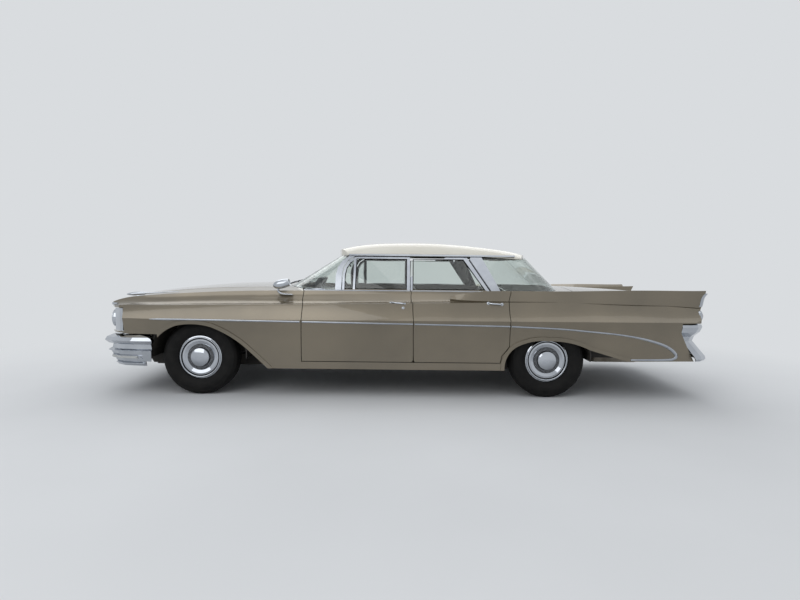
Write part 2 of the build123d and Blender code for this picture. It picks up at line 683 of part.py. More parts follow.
screen_low = ((-600, 806), (-850, 792), (-1040, 700), (-1140, 480), (-1176, 0))
screen_high = ((-470, 686), (-510, 676), (-560, 640), (-600, 520), (-640, 0))
with BuildPart() as windscreen:
    add(wrapped_glass(screen_low, 930, screen_high, 1262, 0))
    add(wrapped_glass(screen_low, 929, screen_high, 1263, glass), mode=Mode.SUBTRACT)
    add(side_prism(((-1300, 900), (-633, 900), (-633, 1078), (-617, 1151), (-573, 1216), (-520, 1255), (-520, 1258),
                    (-1300, 1258)), -900, 900), mode=Mode.INTERSECT)
    add(outer_body, mode=Mode.SUBTRACT)
    add(roof_panel.part, mode=Mode.SUBTRACT)
windscreen.part.label = "windscreen"
export_step(windscreen.part, "parts/windscreen.step")

back_low = ((840, 812), (1050, 800), (1350, 690), (1480, 430), (1512, 0))
back_high = ((600, 690), (900, 682), (1080, 610), (1120, 400), (1150, 0))
with BuildPart() as rear_window:
    add(wrapped_glass(back_low, 930, back_high, 1262, 0))
    add(wrapped_glass(back_low, 929, back_high, 1263, glass), mode=Mode.SUBTRACT)
    add(side_prism(((650, 1246), (846, 900), (1600, 900), (1300, 1246)), -900, 900), mode=Mode.INTERSECT)
    add(outer_body, mode=Mode.SUBTRACT)
    add(roof_panel.part, mode=Mode.SUBTRACT)
    add(pillars.part, mode=Mode.SUBTRACT)
rear_window.part.label = "rear_window"
export_step(rear_window.part, "parts/rear_window.step")

# Grille: on each side a plate that follows the nose, a framed opening with fine bars, and two lamp rims
grille_opening = ((78, 604), (78, 740), (486, 756), (486, 588))
grille_frame = ((64, 590), (64, 754), (500, 770), (500, 574))
grille_reach = plan_prism(((-2900, 58), (-2900, 1100), (-2502, 1100), (-2482, 860), (-2482, 58)), 560, 790)


def nose_band(front_inset, rear_inset, outline):
    """A strip that follows the nose seen from above, inside an outline seen from the front."""
    strip = plan_prism(end_outline(end_rows, front_inset), 560, 780)
    strip = strip - plan_prism(end_outline(end_rows, rear_inset), 550, 790)
    return strip & cross_prism(outline, -2700, lamp_board_x)


def lamp_rim(glass_x, w, radius, depth):
    """A turned rim round a head lamp, ahead of its plate."""
    with BuildPart() as rim:
        with BuildSketch(Plane.XY):
            with BuildLine():
                Polyline((depth, radius + 14), (16, radius + 14), (5, radius + 10))
                ThreePointArc((5, radius + 10), (-1, radius + 5), (3, radius + 1))
                Polyline((3, radius + 1), (depth, radius + 1), (depth, radius + 14))
            make_face()
        revolve(axis=Axis.X)
    return Location((glass_x, w, headlamp_z)) * rim.part


with BuildPart() as grille:
    add(nose_band(grille_plate_inset, grille_plate_inset + 18, ((64, 572), (64, 770), (940, 770), (940, 572)))
        & grille_reach)
    add(nose_band(4, grille_plate_inset + 18, ((872, 572), (872, 770), (940, 770), (940, 572))) & grille_reach)
    add(cross_prism(grille_opening, -2700, -2480), mode=Mode.SUBTRACT)
    add(nose_band(12, grille_plate_inset + 18, grille_frame))
    add(cross_prism(grille_opening, -2700, -2480), mode=Mode.SUBTRACT)
    for i in range(grille_bar_count):
        bar_z = 596 + i * grille_bar_pitch
        add(nose_band(22, 42, ((72, bar_z), (72, bar_z + grille_bar_height), (492, bar_z + grille_bar_height),
                               (492, bar_z))))
    for rib_w in (180, 282, 384):
        add(nose_band(30, 52, ((rib_w, 584), (rib_w, 762), (rib_w + 6, 762), (rib_w + 6, 584))))
    for lamp_w, lamp_x in headlamp_places:
        with Locations(Location((lamp_x, lamp_w, headlamp_z), (0, 90, 0))):
            Cylinder(headlamp_radius + 2, 220, mode=Mode.SUBTRACT)
        add(lamp_rim(lamp_x, lamp_w, headlamp_radius, 70))
    add(block(-2606, lamp_board_x, 493, 503, 600, 740))
    add(block(-2606, lamp_board_x, 665, 675, 600, 740))
    add(block(-2575, lamp_board_x, 836, 846, 600, 740))
    mirror(about=Plane.XZ)
grille.part.label = "grille"
export_step(grille.part, "parts/grille.step")


def head_lamp(glass_x, w):
    """Domed glass on a bowl that sits on the board behind."""
    depth = lamp_board_x - glass_x
    with BuildPart() as lamp:
        with BuildSketch(Plane.XY):
            with BuildLine():
                ThreePointArc((0, 0), (5, 40), (20, headlamp_radius))
                Polyline((20, headlamp_radius), (64, headlamp_radius), (104, 46), (depth, 46), (depth, 0), (0, 0))
            make_face()
        revolve(axis=Axis.X)
    return Location((glass_x, w, headlamp_z)) * lamp.part


# Head lamps, two on each side
with BuildPart() as headlamps:
    for lamp_w, lamp_x in headlamp_places:
        add(both_sides(head_lamp(lamp_x, lamp_w)))
headlamps.part.label = "headlamps"
export_step(headlamps.part, "parts/headlamps.step")


def oval_lamp(w):
    """An oval tail lamp: a bright rim and a domed lens standing on the tail panel."""
    levels = ((0, 78, 54), (30, 78, 54), (40, 68, 45), (52, 56, 35), (60, 30, 17))
    with BuildPart() as form:
        for depth, half_w, half_z in levels:
            with BuildSketch(Plane(origin=(tail_lamp_x + depth, w, tail_lamp_z), x_dir=(0, 1, 0), z_dir=(1, 0, 0))):
                Ellipse(half_w, half_z)
        loft(ruled=True)
    return form.part


# Tail lamps, two on each side below the fins
with BuildPart() as tail_lamps:
    for lamp_w in tail_lamp_places:
        add(both_sides(oval_lamp(lamp_w)))
    add(rear_quarters.part, mode=Mode.SUBTRACT)
tail_lamps.part.label = "tail_lamps"
export_step(tail_lamps.part, "parts/tail_lamps.step")

# Bench seats
seat_half = 690
seat_foot_z = 312.4
tunnel_clear = ((-180, 300), (-140, 450), (140, 450), (180, 300))
seat_corners = ((-seat_half, 300), (-seat_half, 900), (-seat_half + 60, 1010), (seat_half - 60, 1010),
                (seat_half, 900), (seat_half, 300))


def bench_seat(front_x, base_z, front_z, hollow_z, back_x, foot_x, top):
    """One bench on its plinth: a cushion with a rolled front edge and a raked back with a rolled top."""
    top_x, top_z = top
    with BuildPart() as bench:
        with BuildSketch(Plane.XZ.offset(-seat_half)):
            with BuildLine():
                Polyline((front_x + 90, seat_foot_z), (front_x + 90, base_z), (front_x + 30, base_z),
                         (front_x, front_z - 70))
                ThreePointArc((front_x, front_z - 70), (front_x + 12, front_z - 18), (front_x + 70, front_z))
                ThreePointArc((front_x + 70, front_z), (front_x + 220, front_z + 8), (back_x - 30, hollow_z))
                ThreePointArc((back_x - 30, hollow_z), (back_x, hollow_z + 14), (back_x + 14, hollow_z + 50))
                ThreePointArc((back_x + 14, hollow_z + 50), (back_x + 30, (hollow_z + top_z) / 2),
                              (top_x - 60, top_z - 30))
                ThreePointArc((top_x - 60, top_z - 30), (top_x - 12, top_z), (top_x + 22, top_z - 44))
                Polyline((top_x + 22, top_z - 44), (foot_x, base_z), (foot_x - 30, base_z), (foot_x - 30, seat_foot_z),
                         (front_x + 90, seat_foot_z))
            make_face()
        extrude(amount=2 * seat_half)
    return (bench.part & cross_prism(seat_corners, -700, 1000)) - cross_prism(tunnel_clear, -700, 1000)


with BuildPart() as front_seat:
    add(bench_seat(-520, 400, 552, 520, -60, 60, (124, 990)))
front_seat.part.label = "front_seat"
export_step(front_seat.part, "parts/front_seat.step")

with BuildPart() as rear_seat:
    add(bench_seat(312, 365, 540, 508, 668, 752, (806, 905)))
rear_seat.part.label = "rear_seat"
export_step(rear_seat.part, "parts/rear_seat.step")

# Steering wheel and column, leaning to the driver on the left
steering_centre = (-520, -380, 862)
column_lean = 60
column_length = 711
steering_place = Location(steering_centre, (0, column_lean, 0))
with BuildPart() as steering_wheel:
    with Locations(steering_place):
        Torus(205, 11)
        Cylinder(34, 34)
        Box(16, 396, 9)
        Cylinder(20, column_length, align=(Align.CENTER, Align.CENTER, Align.MAX))
steering_wheel.part.label = "steering_wheel"
export_step(steering_wheel.part, "parts/steering_wheel.step")

# Dashboard with the raised instrument pod ahead of the driver
dash_outline = ((-1100, 720), (-1100, 900), (-960, 918), (-720, 916))
with BuildPart() as dashboard:
    with BuildSketch(Plane.XZ.offset(-765)):
        with BuildLine():
            Polyline(*dash_outline)
            ThreePointArc((-720, 916), (-650, 900), (-640, 862))
            Polyline((-640, 862), (-690, 790), (-700, 720), (-1100, 720))
        make_face()
    extrude(amount=2 * 765)
    add(body_loft(skin + 6, 180), mode=Mode.INTERSECT)
    add(side_prism(((-896, 880), (-896, 942), (-822, 1040), (-800, 1050), (-776, 1040), (-790, 1010), (-842, 880)),
                   -560, -200))
    with Locations(steering_place):
        Cylinder(26, column_length, align=(Align.CENTER, Align.CENTER, Align.MAX), mode=Mode.SUBTRACT)
dashboard.part.label = "dashboard"
export_step(dashboard.part, "parts/dashboard.step")

# Engine and gearbox as one plain heavy block
with BuildPart() as engine_block:
    add(cross_prism(((-250, 480), (-150, 330), (150, 330), (250, 480), (300, 780), (160, 850), (-160, 850),
                     (-300, 780)), -2180, -1420))
    add(cross_prism(((-110, 300), (-120, 390), (-60, 420), (60, 420), (120, 390), (110, 300), (60, 240), (-60, 240)),
                    -1430, -640))
engine_block.part.label = "engine_block"
export_step(engine_block.part, "parts/engine_block.step")

# Exhaust with its silencer, and the fuel tank under the boot
with BuildPart() as exhaust:
    with BuildLine():
        Polyline((-1300, 240, 260), (-700, 240, 182), (900, 300, 182), (1700, 340, 182), (2450, 360, 200))
    with BuildSketch(Plane(origin=(-1300, 240, 260), z_dir=(600, 0, -78))):
        Circle(28)
    sweep(transition=Transition.RIGHT)
    add(cross_prism(((215, 138), (355, 138), (385, 165), (385, 195), (355, 222), (215, 222), (185, 195), (185, 165)),
                    300, 850))
exhaust.part.label = "exhaust"
export_step(exhaust.part, "parts/exhaust.step")

with BuildPart() as fuel_tank:
    add(block(1820, 2280, -430, 430, 250, 395))
    fillet(fuel_tank.edges().filter_by(Axis.Z), 60)
fuel_tank.part.label = "fuel_tank"
export_step(fuel_tank.part, "parts/fuel_tank.step")

# Front suspension arms with a damper between the lower arm and its frame seat
spring_w = 500
with BuildPart() as front_suspension:
    add(both_sides(plan_prism(((-2010, 350), (-1870, 700), (-1790, 700), (-1650, 350)), 158, 182)))
    add(both_sides(plan_prism(((-1930, 404), (-1858, 690), (-1802, 690), (-1730, 404)), 470, 492)))
    with Locations((front_axle_x, spring_w, 182), (front_axle_x, -spring_w, 182)):
        Cylinder(24, 260, align=(Align.CENTER, Align.CENTER, Align.MIN))
        Cylinder(66, 10, align=(Align.CENTER, Align.CENTER, Align.MIN))
front_suspension.part.label = "front_suspension"
export_step(front_suspension.part, "parts/front_suspension.step")

# Rear axle with its propeller shaft, trailing arms, spring seats and dampers
arm_outline = ((890, 214), (890, 250), (1234, 300), (1310, 300), (1310, 276), (1234, 262))
rear_spring_w = 590
damper_w = 400
differential_rings = ((-168, 58), (-96, 126), (-24, 150), (60, 132), (118, 92), (140, 50))
with BuildPart() as rear_axle:
    with Locations(Location((rear_axle_x, 0, axle_z), (90, 0, 0))):
        Cylinder(42, 1440)
        Cylinder(28, 1590)
    for ahead, ring_radius in differential_rings:
        with BuildSketch(Plane(origin=(rear_axle_x + ahead, 0, axle_z), z_dir=(1, 0, 0))):
            Circle(ring_radius)
    loft(ruled=True)
    with Locations(Location((-640, 0, 300), (0, 90, 0))):
        Cylinder(36, rear_axle_x - 100 + 640, align=(Align.CENTER, Align.CENTER, Align.MIN))
    add(both_sides(side_prism(arm_outline, 430, 464)))
    with Locations((rear_axle_x, rear_spring_w, 370), (rear_axle_x, -rear_spring_w, 370)):
        Cylinder(62, 12, align=(Align.CENTER, Align.CENTER, Align.MIN))
    with Locations((rear_axle_x + 52, damper_w, 310), (rear_axle_x + 52, -damper_w, 310)):
        Cylinder(19, 209, align=(Align.CENTER, Align.CENTER, Align.MIN))
rear_axle.part.label = "rear_axle"
export_step(rear_axle.part, "parts/rear_axle.step")

# Steering knuckles: upright, kingpin boss, stub axle, brake backing plate and steering arm
with BuildPart() as knuckle_right:
    add(block(-1856, -1804, 700, 738, 206, 450))
    with Locations((front_axle_x, kingpin_w, 188)):
        Cylinder(20, 276, align=(Align.CENTER, Align.CENTER, Align.MIN))
    with Locations(Location((front_axle_x, 738, axle_z), (-90, 0, 0))):
        Cylinder(28, 56, align=(Align.CENTER, Align.CENTER, Align.MIN))
        Cylinder(drum_radius - 4, 6, align=(Align.CENTER, Align.CENTER, Align.MIN))
    add(block(-1804, -1690, 700, 720, 296, 324))
knuckle_right.part.label = "knuckle_right"
export_step(knuckle_right.part, "parts/knuckle_right.step")

with BuildPart() as knuckle_left:
    add(mirror(knuckle_right.part, about=Plane.XZ))
knuckle_left.part.label = "knuckle_left"
export_step(knuckle_left.part, "parts/knuckle_left.step")

# Tyre section from bead to bead: distance across the tyre from its middle, radius
tyre_flat_radius = tyre_radius * cos(pi / tyre_sides)
tyre_section = ((-78, 199), (-103, 250), (-90, 308), (-62, tyre_flat_radius), (62, tyre_flat_radius), (90, 308),
                (103, 250), (78, 199))


def ring_form(section):
    """A ring of flats about the axle, through its section."""
    with BuildPart() as form:
        for across, radius in section:
            with BuildSketch(Plane.XZ.offset(-across)):
                RegularPolygon(radius, tyre_sides, major_radius=False, rotation=90)
        loft(ruled=True)
    return form.part


tyre_form = ring_form(tyre_section)
tyre_form = tyre_form - ring_form(((-66, rim_radius + 1.2), (66, rim_radius + 1.2)))
tyre_form = tyre_form - ring_form(((-80, rim_radius + 16), (-66, rim_radius + 16)))
tyre_form = tyre_form - ring_form(((66, rim_radius + 16), (80, rim_radius + 16)))


def wheel_solid():
    """A wheel with its brake drum and full cover, turned about its axle, its outside to the right."""
    with BuildPart() as disc:
        with BuildSketch(Plane.XY):
            with BuildLine():
                ThreePointArc((0, 102), (40, 100), (68, 93))
                Polyline((68, 93), (80, 88), (84, 76), (88, 66), (118, 62), (146, 74), (160, 72), (163, 64), (168, 64),
                         (170, 78))
                ThreePointArc((170, 78), (176, 83), (183, 78))
                Polyline((183, 78), (192, 74), (192, 70), (rim_radius, 68), (rim_radius, -68), (192, -70), (192, -76),
                         (168, -76), (160, -24), (140, 14), (drum_radius, -60), (34, -60), (34, 4), (0, 4), (0, 102))
            make_face()
        revolve(axis=Axis.Y)
    return disc.part


# Wheels: name, axle x, distance of the wheel's middle from the centre line
wheel_places = (
    ("front_right", front_axle_x, front_track / 2),
    ("front_left", front_axle_x, -front_track / 2),
    ("rear_right", rear_axle_x, rear_track / 2),
    ("rear_left", rear_axle_x, -rear_track / 2),
)
wheel_right = wheel_solid()
wheel_left = mirror(wheel_right, about=Plane.XZ)
for place, axle_x, middle_y in wheel_places:
    with BuildPart() as tyre:
        add(Location((axle_x, middle_y, axle_z)) * tyre_form)
    tyre.part.label = "tyre_" + place
    export_step(tyre.part, "parts/tyre_" + place + ".step")
    with BuildPart() as wheel:
        add(Location((axle_x, middle_y, axle_z)) * (wheel_right if middle_y > 0 else wheel_left))
    wheel.part.label = "wheel_" + place
    export_step(wheel.part, "parts/wheel_" + place + ".step")
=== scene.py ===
# A late 1950s four-door hardtop, seen from its left side on a plain pale floor.
# Metres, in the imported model's frame: +X to the tail, +Y to the car's right, +Z up.
import math

import bmesh
import bpy
from mathutils import Matrix, Vector
from mathutils.bvhtree import BVHTree


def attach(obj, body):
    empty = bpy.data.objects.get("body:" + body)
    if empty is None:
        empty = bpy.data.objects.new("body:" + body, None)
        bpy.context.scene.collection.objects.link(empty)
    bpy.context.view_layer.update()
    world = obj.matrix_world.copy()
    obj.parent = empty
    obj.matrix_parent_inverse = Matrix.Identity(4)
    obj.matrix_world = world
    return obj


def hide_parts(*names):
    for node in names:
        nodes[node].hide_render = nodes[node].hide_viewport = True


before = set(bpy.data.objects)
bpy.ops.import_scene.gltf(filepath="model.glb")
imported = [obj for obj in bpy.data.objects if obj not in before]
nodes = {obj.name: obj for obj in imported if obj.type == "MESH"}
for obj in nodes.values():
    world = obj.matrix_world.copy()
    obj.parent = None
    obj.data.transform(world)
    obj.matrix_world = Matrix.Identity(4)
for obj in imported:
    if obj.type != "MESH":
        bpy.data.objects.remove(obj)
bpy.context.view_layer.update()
print("frame loaded:", len(nodes), "nodes")

bothSides = (("right", 1), ("left", -1))
rearward, rightward, upward = Vector((1, 0, 0)), Vector((0, 1, 0)), Vector((0, 0, 1))


def hexToLinear(code):
    channels = [int(code[i:i + 2], 16) / 255 for i in (1, 3, 5)]
    linear = [c / 12.92 if c <= 0.04045 else ((c + 0.055) / 1.055) ** 2.4 for c in channels]
    return (*linear, 1.0)


def addNode(tree, kind, settings=None, links=None):
    # settings: attribute or input name to value; links: input name to a source socket
    node = tree.nodes.new(kind)
    for key, value in (settings or {}).items():
        if isinstance(key, str) and hasattr(node, key):
            setattr(node, key, value)
        else:
            node.inputs[key].default_value = value
    for key, source in (links or {}).items():
        tree.links.new(source, node.inputs[key])
    return node


def spread(low, high, count):
    # evenly spaced values, both ends among them
    return [low + (high - low) * i / (count - 1) for i in range(count)]


def fullTurn(count):
    return [2 * math.pi * i / count for i in range(count)]


# Materials

def startMaterial(name, shader):
    mat = bpy.data.materials.new(name)
    mat.use_nodes = True
    surface = mat.node_tree.nodes["Principled BSDF"]
    for key, value in shader.items():
        surface.inputs[key].default_value = value
    return mat, mat.node_tree, surface


def objectCoords(tree):
    return addNode(tree, "ShaderNodeTexCoord").outputs["Object"]


def twoTones(tree, source, dark, light, low=0.0, high=1.0):
    # from the dark colour to the light one, as the source goes from low to high
    ramp = addNode(tree, "ShaderNodeValToRGB", None, {"Fac": source})
    for element, position, code in zip(ramp.color_ramp.elements, (low, high), (dark, light)):
        element.position = position
        element.color = hexToLinear(code)
    return ramp.outputs["Color"]


def variedColour(tree, surface, dark, light, scale):
    # soft patches between two near colours, so that no surface is one flat tone
    noise = addNode(tree, "ShaderNodeTexNoise", {"Scale": scale, "Detail": 4.0},
                    {"Vector": objectCoords(tree)})
    tones = twoTones(tree, noise.outputs["Fac"], dark, light, 0.35, 0.65)
    tree.links.new(tones, surface.inputs["Base Color"])


def raised(tree, surface, height, strength, depth):
    bump = addNode(tree, "ShaderNodeBump", {"Strength": strength, "Distance": depth}, {"Height": height})
    tree.links.new(bump.outputs["Normal"], surface.inputs["Normal"])


def grain(sizeMm, strength, depthMm, detail=2.0):
    # a relief whose grain is given in real millimetres
    return "Noise", {"Scale": 1000 / sizeMm, "Detail": detail}, "Fac", strength, depthMm / 1000


def patterned(tree, surface, texture, settings, output, strength, depth):
    source = addNode(tree, "ShaderNodeTex" + texture, settings, {"Vector": objectCoords(tree)})
    raised(tree, surface, source.outputs[output], strength, depth)


def champagneLacquer():
    # metallic lacquer under clear coat: flakes give a soft sheen, the coat a sharp one; the colour goes
    # darker towards the bottom, in patches
    mat, tree, surface = startMaterial("champagneLacquer", {"Metallic": 0.62, "Roughness": 0.3,
                                                            "Coat Weight": 1.0, "Coat Roughness": 0.03})
    coords = objectCoords(tree)
    flakes = addNode(tree, "ShaderNodeTexNoise", {"Scale": 1100.0, "Detail": 1.0}, {"Vector": coords})
    patches = addNode(tree, "ShaderNodeTexNoise", {"Scale": 1.6, "Detail": 3.0}, {"Vector": coords})
    both = addNode(tree, "ShaderNodeMath", {"operation": "MULTIPLY_ADD", 1: 0.6},
                   {0: flakes.outputs["Fac"], 2: patches.outputs["Fac"]})
    tones = twoTones(tree, both.outputs["Value"], "#6D6556", "#827866", 0.55)
    place = addNode(tree, "ShaderNodeSeparateXYZ", None, {"Vector": coords})
    # the paint goes darker towards the bottom, in patches, from half a metre up down to the lowest edge
    darkerLow = addNode(tree, "ShaderNodeMapRange",
                   {"From Min": 0.26, "From Max": 0.5, "To Min": 0.3, "To Max": 0.0},
                   {"Value": place.outputs["Z"]})
    darkerLowPatches = addNode(tree, "ShaderNodeMath", {"operation": "MULTIPLY"},
                    {0: darkerLow.outputs["Result"], 1: patches.outputs["Fac"]})
    mix = addNode(tree, "ShaderNodeMix", {"data_type": "RGBA", "B": hexToLinear("#61594D")},
                  {"Factor": darkerLowPatches.outputs["Value"], "A": tones})
    tree.links.new(mix.outputs["Result"], surface.inputs["Base Color"])
    patterned(tree, surface, *grain(700, 0.015, 1.5, 1.0))
    return mat


def wovenCloth():
    # woven cloth: crossed threads, drawn as coarse as shows
    mat, tree, surface = startMaterial("seatCloth", {"Roughness": 0.9, "Sheen Weight": 0.3})
    coords = objectCoords(tree)
    warp, weft = [addNode(tree, "ShaderNodeTexWave", {"bands_direction": run, "Scale": 62.0},
                          {"Vector": coords}) for run in ("Y", "DIAGONAL")]
    weave = addNode(tree, "ShaderNodeMath", {"operation": "MAXIMUM"},
                    {0: warp.outputs["Fac"], 1: weft.outputs["Fac"]}).outputs["Value"]
    tree.links.new(twoTones(tree, weave, "#6F6A60", "#A39D90"), surface.inputs["Base Color"])
    raised(tree, surface, weave, 0.4, 0.0008)
    return mat


satinTones = ("#0E0E0E", "#1B1A19", 12.0)
lensShader = {"Roughness": 0.08, "Transmission Weight": 0.3}
lensRibs = ("Wave", {"bands_direction": "Z", "Scale": 60.0}, "Fac", 0.4, 0.001)
leather = ("Voronoi", {"Scale": 450.0}, "Distance", 0.3, 0.0006)

# material name, shader settings, the two colours with the scale of their patches, relief
evenFinishes = {
    # solid cream enamel: no flakes, a smooth wet gloss
    "cream": ("creamEnamel", {"Roughness": 0.22, "Coat Weight": 0.5, "Coat Roughness": 0.06},
              ("#DAD6C9", "#E3E0D5", 1.5), None),
    # plated chrome: a near-perfect mirror with a faint ripple from the pressing under it
    "chrome": ("platedChrome", {"Metallic": 1.0, "Roughness": 0.06}, ("#B3B7BD", "#C1C5CB", 6.0),
               grain(90, 0.05, 1.0, 1.0)),
    # rolled stainless trim: a mirror a little softer than chrome
    "stainless": ("brightStainless", {"Metallic": 1.0, "Roughness": 0.14}, ("#A5A9B0", "#B3B7BD", 9.0),
                  grain(40, 0.06, 0.5, 1.0)),
    # laminated safety glass: clear, with a faint green tint
    "glass": ("tintedGlass", {"Roughness": 0.0, "IOR": 1.5, "Transmission Weight": 1.0},
              ("#E6ECE9", "#EBF0ED", 0.8), None),
    # pressed lamp glass: clear, with fine upright flutes that break up the light
    "lampGlass": ("lampGlass", {"Roughness": 0.05, "IOR": 1.5, "Transmission Weight": 0.92,
                                "Base Color": hexToLinear("#EEF1F2")}, None,
                  ("Wave", {"bands_direction": "Y", "Scale": 45.0, "Distortion": 0.0}, "Fac", 0.5, 0.001)),
    # moulded acrylic lenses: glossy, a little see-through, ribbed inside
    "redLens": ("redLens", lensShader, ("#8E0B0B", "#A61212", 20.0), lensRibs),
    "clearLens": ("clearLens", lensShader, ("#C9CCCB", "#D8DAD8", 20.0), lensRibs),
    # vulcanised tyre rubber: near-black, dry, with a faint dusty bloom
    "rubber": ("carcassRubber", {"Roughness": 0.72, "Specular IOR Level": 0.25},
               ("#0B0B0B", "#171615", 14.0), grain(3, 0.25, 0.3)),
    # stove-enamelled black, a little dusty
    "hubBlack": ("hubBlack", {"Roughness": 0.5}, satinTones, grain(8, 0.1, 0.2)),
    "coverGrey": ("coverGrey", {"Roughness": 0.35}, satinTones, grain(8, 0.1, 0.2)),
    # brushed chassis paint: satin black with road dust
    "chassis": ("chassisBlack", {"Roughness": 0.62}, ("#211F1D", "#3B3732", 7.0), grain(6, 0.2, 0.4)),
    # sprayed engine enamel over sand-cast iron
    "engine": ("engineEnamel", {"Roughness": 0.45}, ("#3F5560", "#4A6470", 9.0), grain(4, 0.35, 0.6)),
    # aluminised steel, dulled by heat
    "steel": ("dullSteel", {"Metallic": 0.9, "Roughness": 0.48}, ("#6E675D", "#8A847A", 11.0),
              grain(5, 0.2, 0.3)),
    # embossed vinyl: a leather grain about 2 mm across
    "dashVinyl": ("dashVinyl", {"Roughness": 0.5}, ("#2B2C30", "#36373B", 5.0), leather),
    "doorVinyl": ("doorVinyl", {"Roughness": 0.5}, ("#6E6557", "#7A7162", 5.0), leather),
    "headlining": ("headlining", {"Roughness": 0.5}, ("#BDB8AA", "#C9C4B7", 5.0), leather),
    "seatVinyl": ("seatVinyl", {"Roughness": 0.5}, ("#A9A498", "#B8B3A7", 5.0), leather),
    # cut-pile floor carpet, its tufts about 5 mm across
    "carpet": ("loopCarpet", {"Roughness": 0.95, "Sheen Weight": 0.4}, ("#3A352D", "#4A443A", 60.0),
               grain(5, 0.8, 3.0)),
    # hard moulded plastic: smooth, with a soft gloss
    "wheelPlastic": ("wheelPlastic", {"Roughness": 0.3}, ("#121214", "#1C1C1F", 8.0), None),
    "dialWhite": ("dialWhite", {"Roughness": 0.4}, ("#D8D5CB", "#E2DFD6", 8.0), None),
}
finish = {"champagne": champagneLacquer(), "seatCloth": wovenCloth()}
for finishName, (materialName, shader, tones, relief) in evenFinishes.items():
    finish[finishName], tree, surface = startMaterial(materialName, shader)
    if tones:
        variedColour(tree, surface, *tones)
    if relief:
        patterned(tree, surface, *relief)
print("finishes made:", len(finish))


# Which finish each carried-over node wears, by where its faces are

axleZ = 0.334
# heights, half widths and spans along X that part the finishes, and the dark rings of a wheel cover
zones = {"sillTop": 0.958, "frameHalf": 0.83, "innerHalf": 0.852, "liningHalf": 0.66, "liningX": (-0.6, 1.0),
         "cabinHalf": 0.801, "carpetLow": 0.305, "carpetX": (-1.15, 0.84), "toeBoardX": -1.1,
         "coverDepth": 0.045, "greyRing": (0.084, 0.1195), "blackRing": (0.1605, 0.1695)}
wheelPlaces = {
    "front_right": (-1.83, 0.809), "front_left": (-1.83, -0.809),
    "rear_right": (1.269, 0.813), "rear_left": (1.269, -0.813),
}
doorNodes = ("front_door_right", "front_door_left", "rear_door_right", "rear_door_left")
plainNodes = {
    "champagne": ("hood", "front_fenders", "nose_panel", "cowl_panel", "rear_quarters", "boot_lid",
                  "rocker_panels"),
    "glass": ("front_glass_right", "front_glass_left", "rear_glass_right", "rear_glass_left", "windscreen",
              "rear_window"),
    "chrome": ("front_bumper", "rear_bumper", "grille"),
    "stainless": ("pillars",),
    "chassis": ("chassis_frame", "front_suspension", "rear_axle", "knuckle_right", "knuckle_left"),
    "engine": ("engine_block",),
    "steel": ("exhaust", "fuel_tank"),
    "lampGlass": ("headlamps",),
    "redLens": ("tail_lamps",),
    "dashVinyl": ("dashboard",),
    "wheelPlastic": ("steering_wheel",),
    "seatCloth": ("front_seat", "rear_seat"),
}


def dressNode(name, finishNames, choose=None):
    mesh = nodes[name].data
    mesh.materials.clear()
    for finishName in finishNames:
        mesh.materials.append(finish[finishName])
    for polygon in mesh.polygons if choose else ():
        polygon.material_index = choose(polygon.center, polygon.normal)


def doorFace(centre, normal):
    # painted outside, bright window frame above the sill, trimmed inside the cabin
    if centre.z > zones["sillTop"] and abs(centre.y) < zones["frameHalf"]:
        return 1
    inward = normal.y * centre.y < 0 and abs(normal.y) > 0.7
    return 2 if inward and abs(centre.y) < zones["innerHalf"] else 0


def roofFace(centre, normal):
    # lined over the cabin, painted elsewhere
    low, high = zones["liningX"]
    return 1 if normal.z < -0.3 and abs(centre.y) < zones["liningHalf"] and low < centre.x < high else 0


def floorFace(centre, normal):
    # carpet on the cabin floor, its tunnel and the toe board
    low, high = zones["carpetX"]
    inCabin = low < centre.x < high and abs(centre.y) < zones["cabinHalf"] and centre.z > zones["carpetLow"]
    return 1 if inCabin and (normal.z > 0.3 or (normal.x > 0.7 and centre.x < zones["toeBoardX"])) else 0


def wheelFace(axleX, middleY):
    # a bright cover with two dark rings, and a black rim behind it
    def choose(centre, normal):
        radius = math.hypot(centre.x - axleX, centre.z - axleZ)
        greyLow, greyHigh, blackLow, blackHigh = *zones["greyRing"], *zones["blackRing"]
        if abs(centre.y) - abs(middleY) < zones["coverDepth"] or blackLow < radius < blackHigh:
            return 1
        return 2 if greyLow < radius < greyHigh else 0
    return choose


for finishName, names in plainNodes.items():
    for name in names:
        dressNode(name, (finishName,))
for name in doorNodes:
    dressNode(name, ("champagne", "stainless", "doorVinyl"), doorFace)
dressNode("roof_panel", ("cream", "headlining"), roofFace)
dressNode("floor_pan", ("chassis", "carpet"), floorFace)
for place, middle in wheelPlaces.items():
    dressNode("wheel_" + place, ("chrome", "hubBlack", "coverGrey"), wheelFace(*middle))
print("nodes dressed")


# Making pieces

def newMesh(name, shape):
    mesh = bpy.data.meshes.new(name)
    mesh.from_pydata([tuple(v) for v in shape[0]], [], [tuple(f) for f in shape[1]])
    return mesh


def facedOut(mesh, merge=0.0):
    # every face outwards, with doubled points merged where a distance is given
    work = bmesh.new()
    work.from_mesh(mesh)
    if merge:
        bmesh.ops.remove_doubles(work, verts=work.verts, dist=merge)
    bmesh.ops.recalc_face_normals(work, faces=work.faces)
    work.to_mesh(mesh)
    work.free()
    return mesh


def standAs(name, data):
    item = bpy.data.objects.new(name, data)
    bpy.context.scene.collection.objects.link(item)
    return item


def stand(name, mesh, body):
    piece = standAs(name, mesh)
    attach(piece, body)
    return piece


def finishPiece(name, mesh, finishName, body, sharpAngle=35.0):
    # smooth except at sharp bends
    facedOut(mesh, 1e-5)
    mesh.materials.clear()
    mesh.materials.append(finish[finishName])
    mesh.polygons.foreach_set("use_smooth", [True] * len(mesh.polygons))
    mesh.set_sharp_from_angle(angle=math.radians(sharpAngle))
    return stand(name, mesh, body)


def addPiece(name, shape, finishName="chrome", body="car", sharpAngle=35.0):
    return finishPiece(name, newMesh(name, shape), finishName, body, sharpAngle)


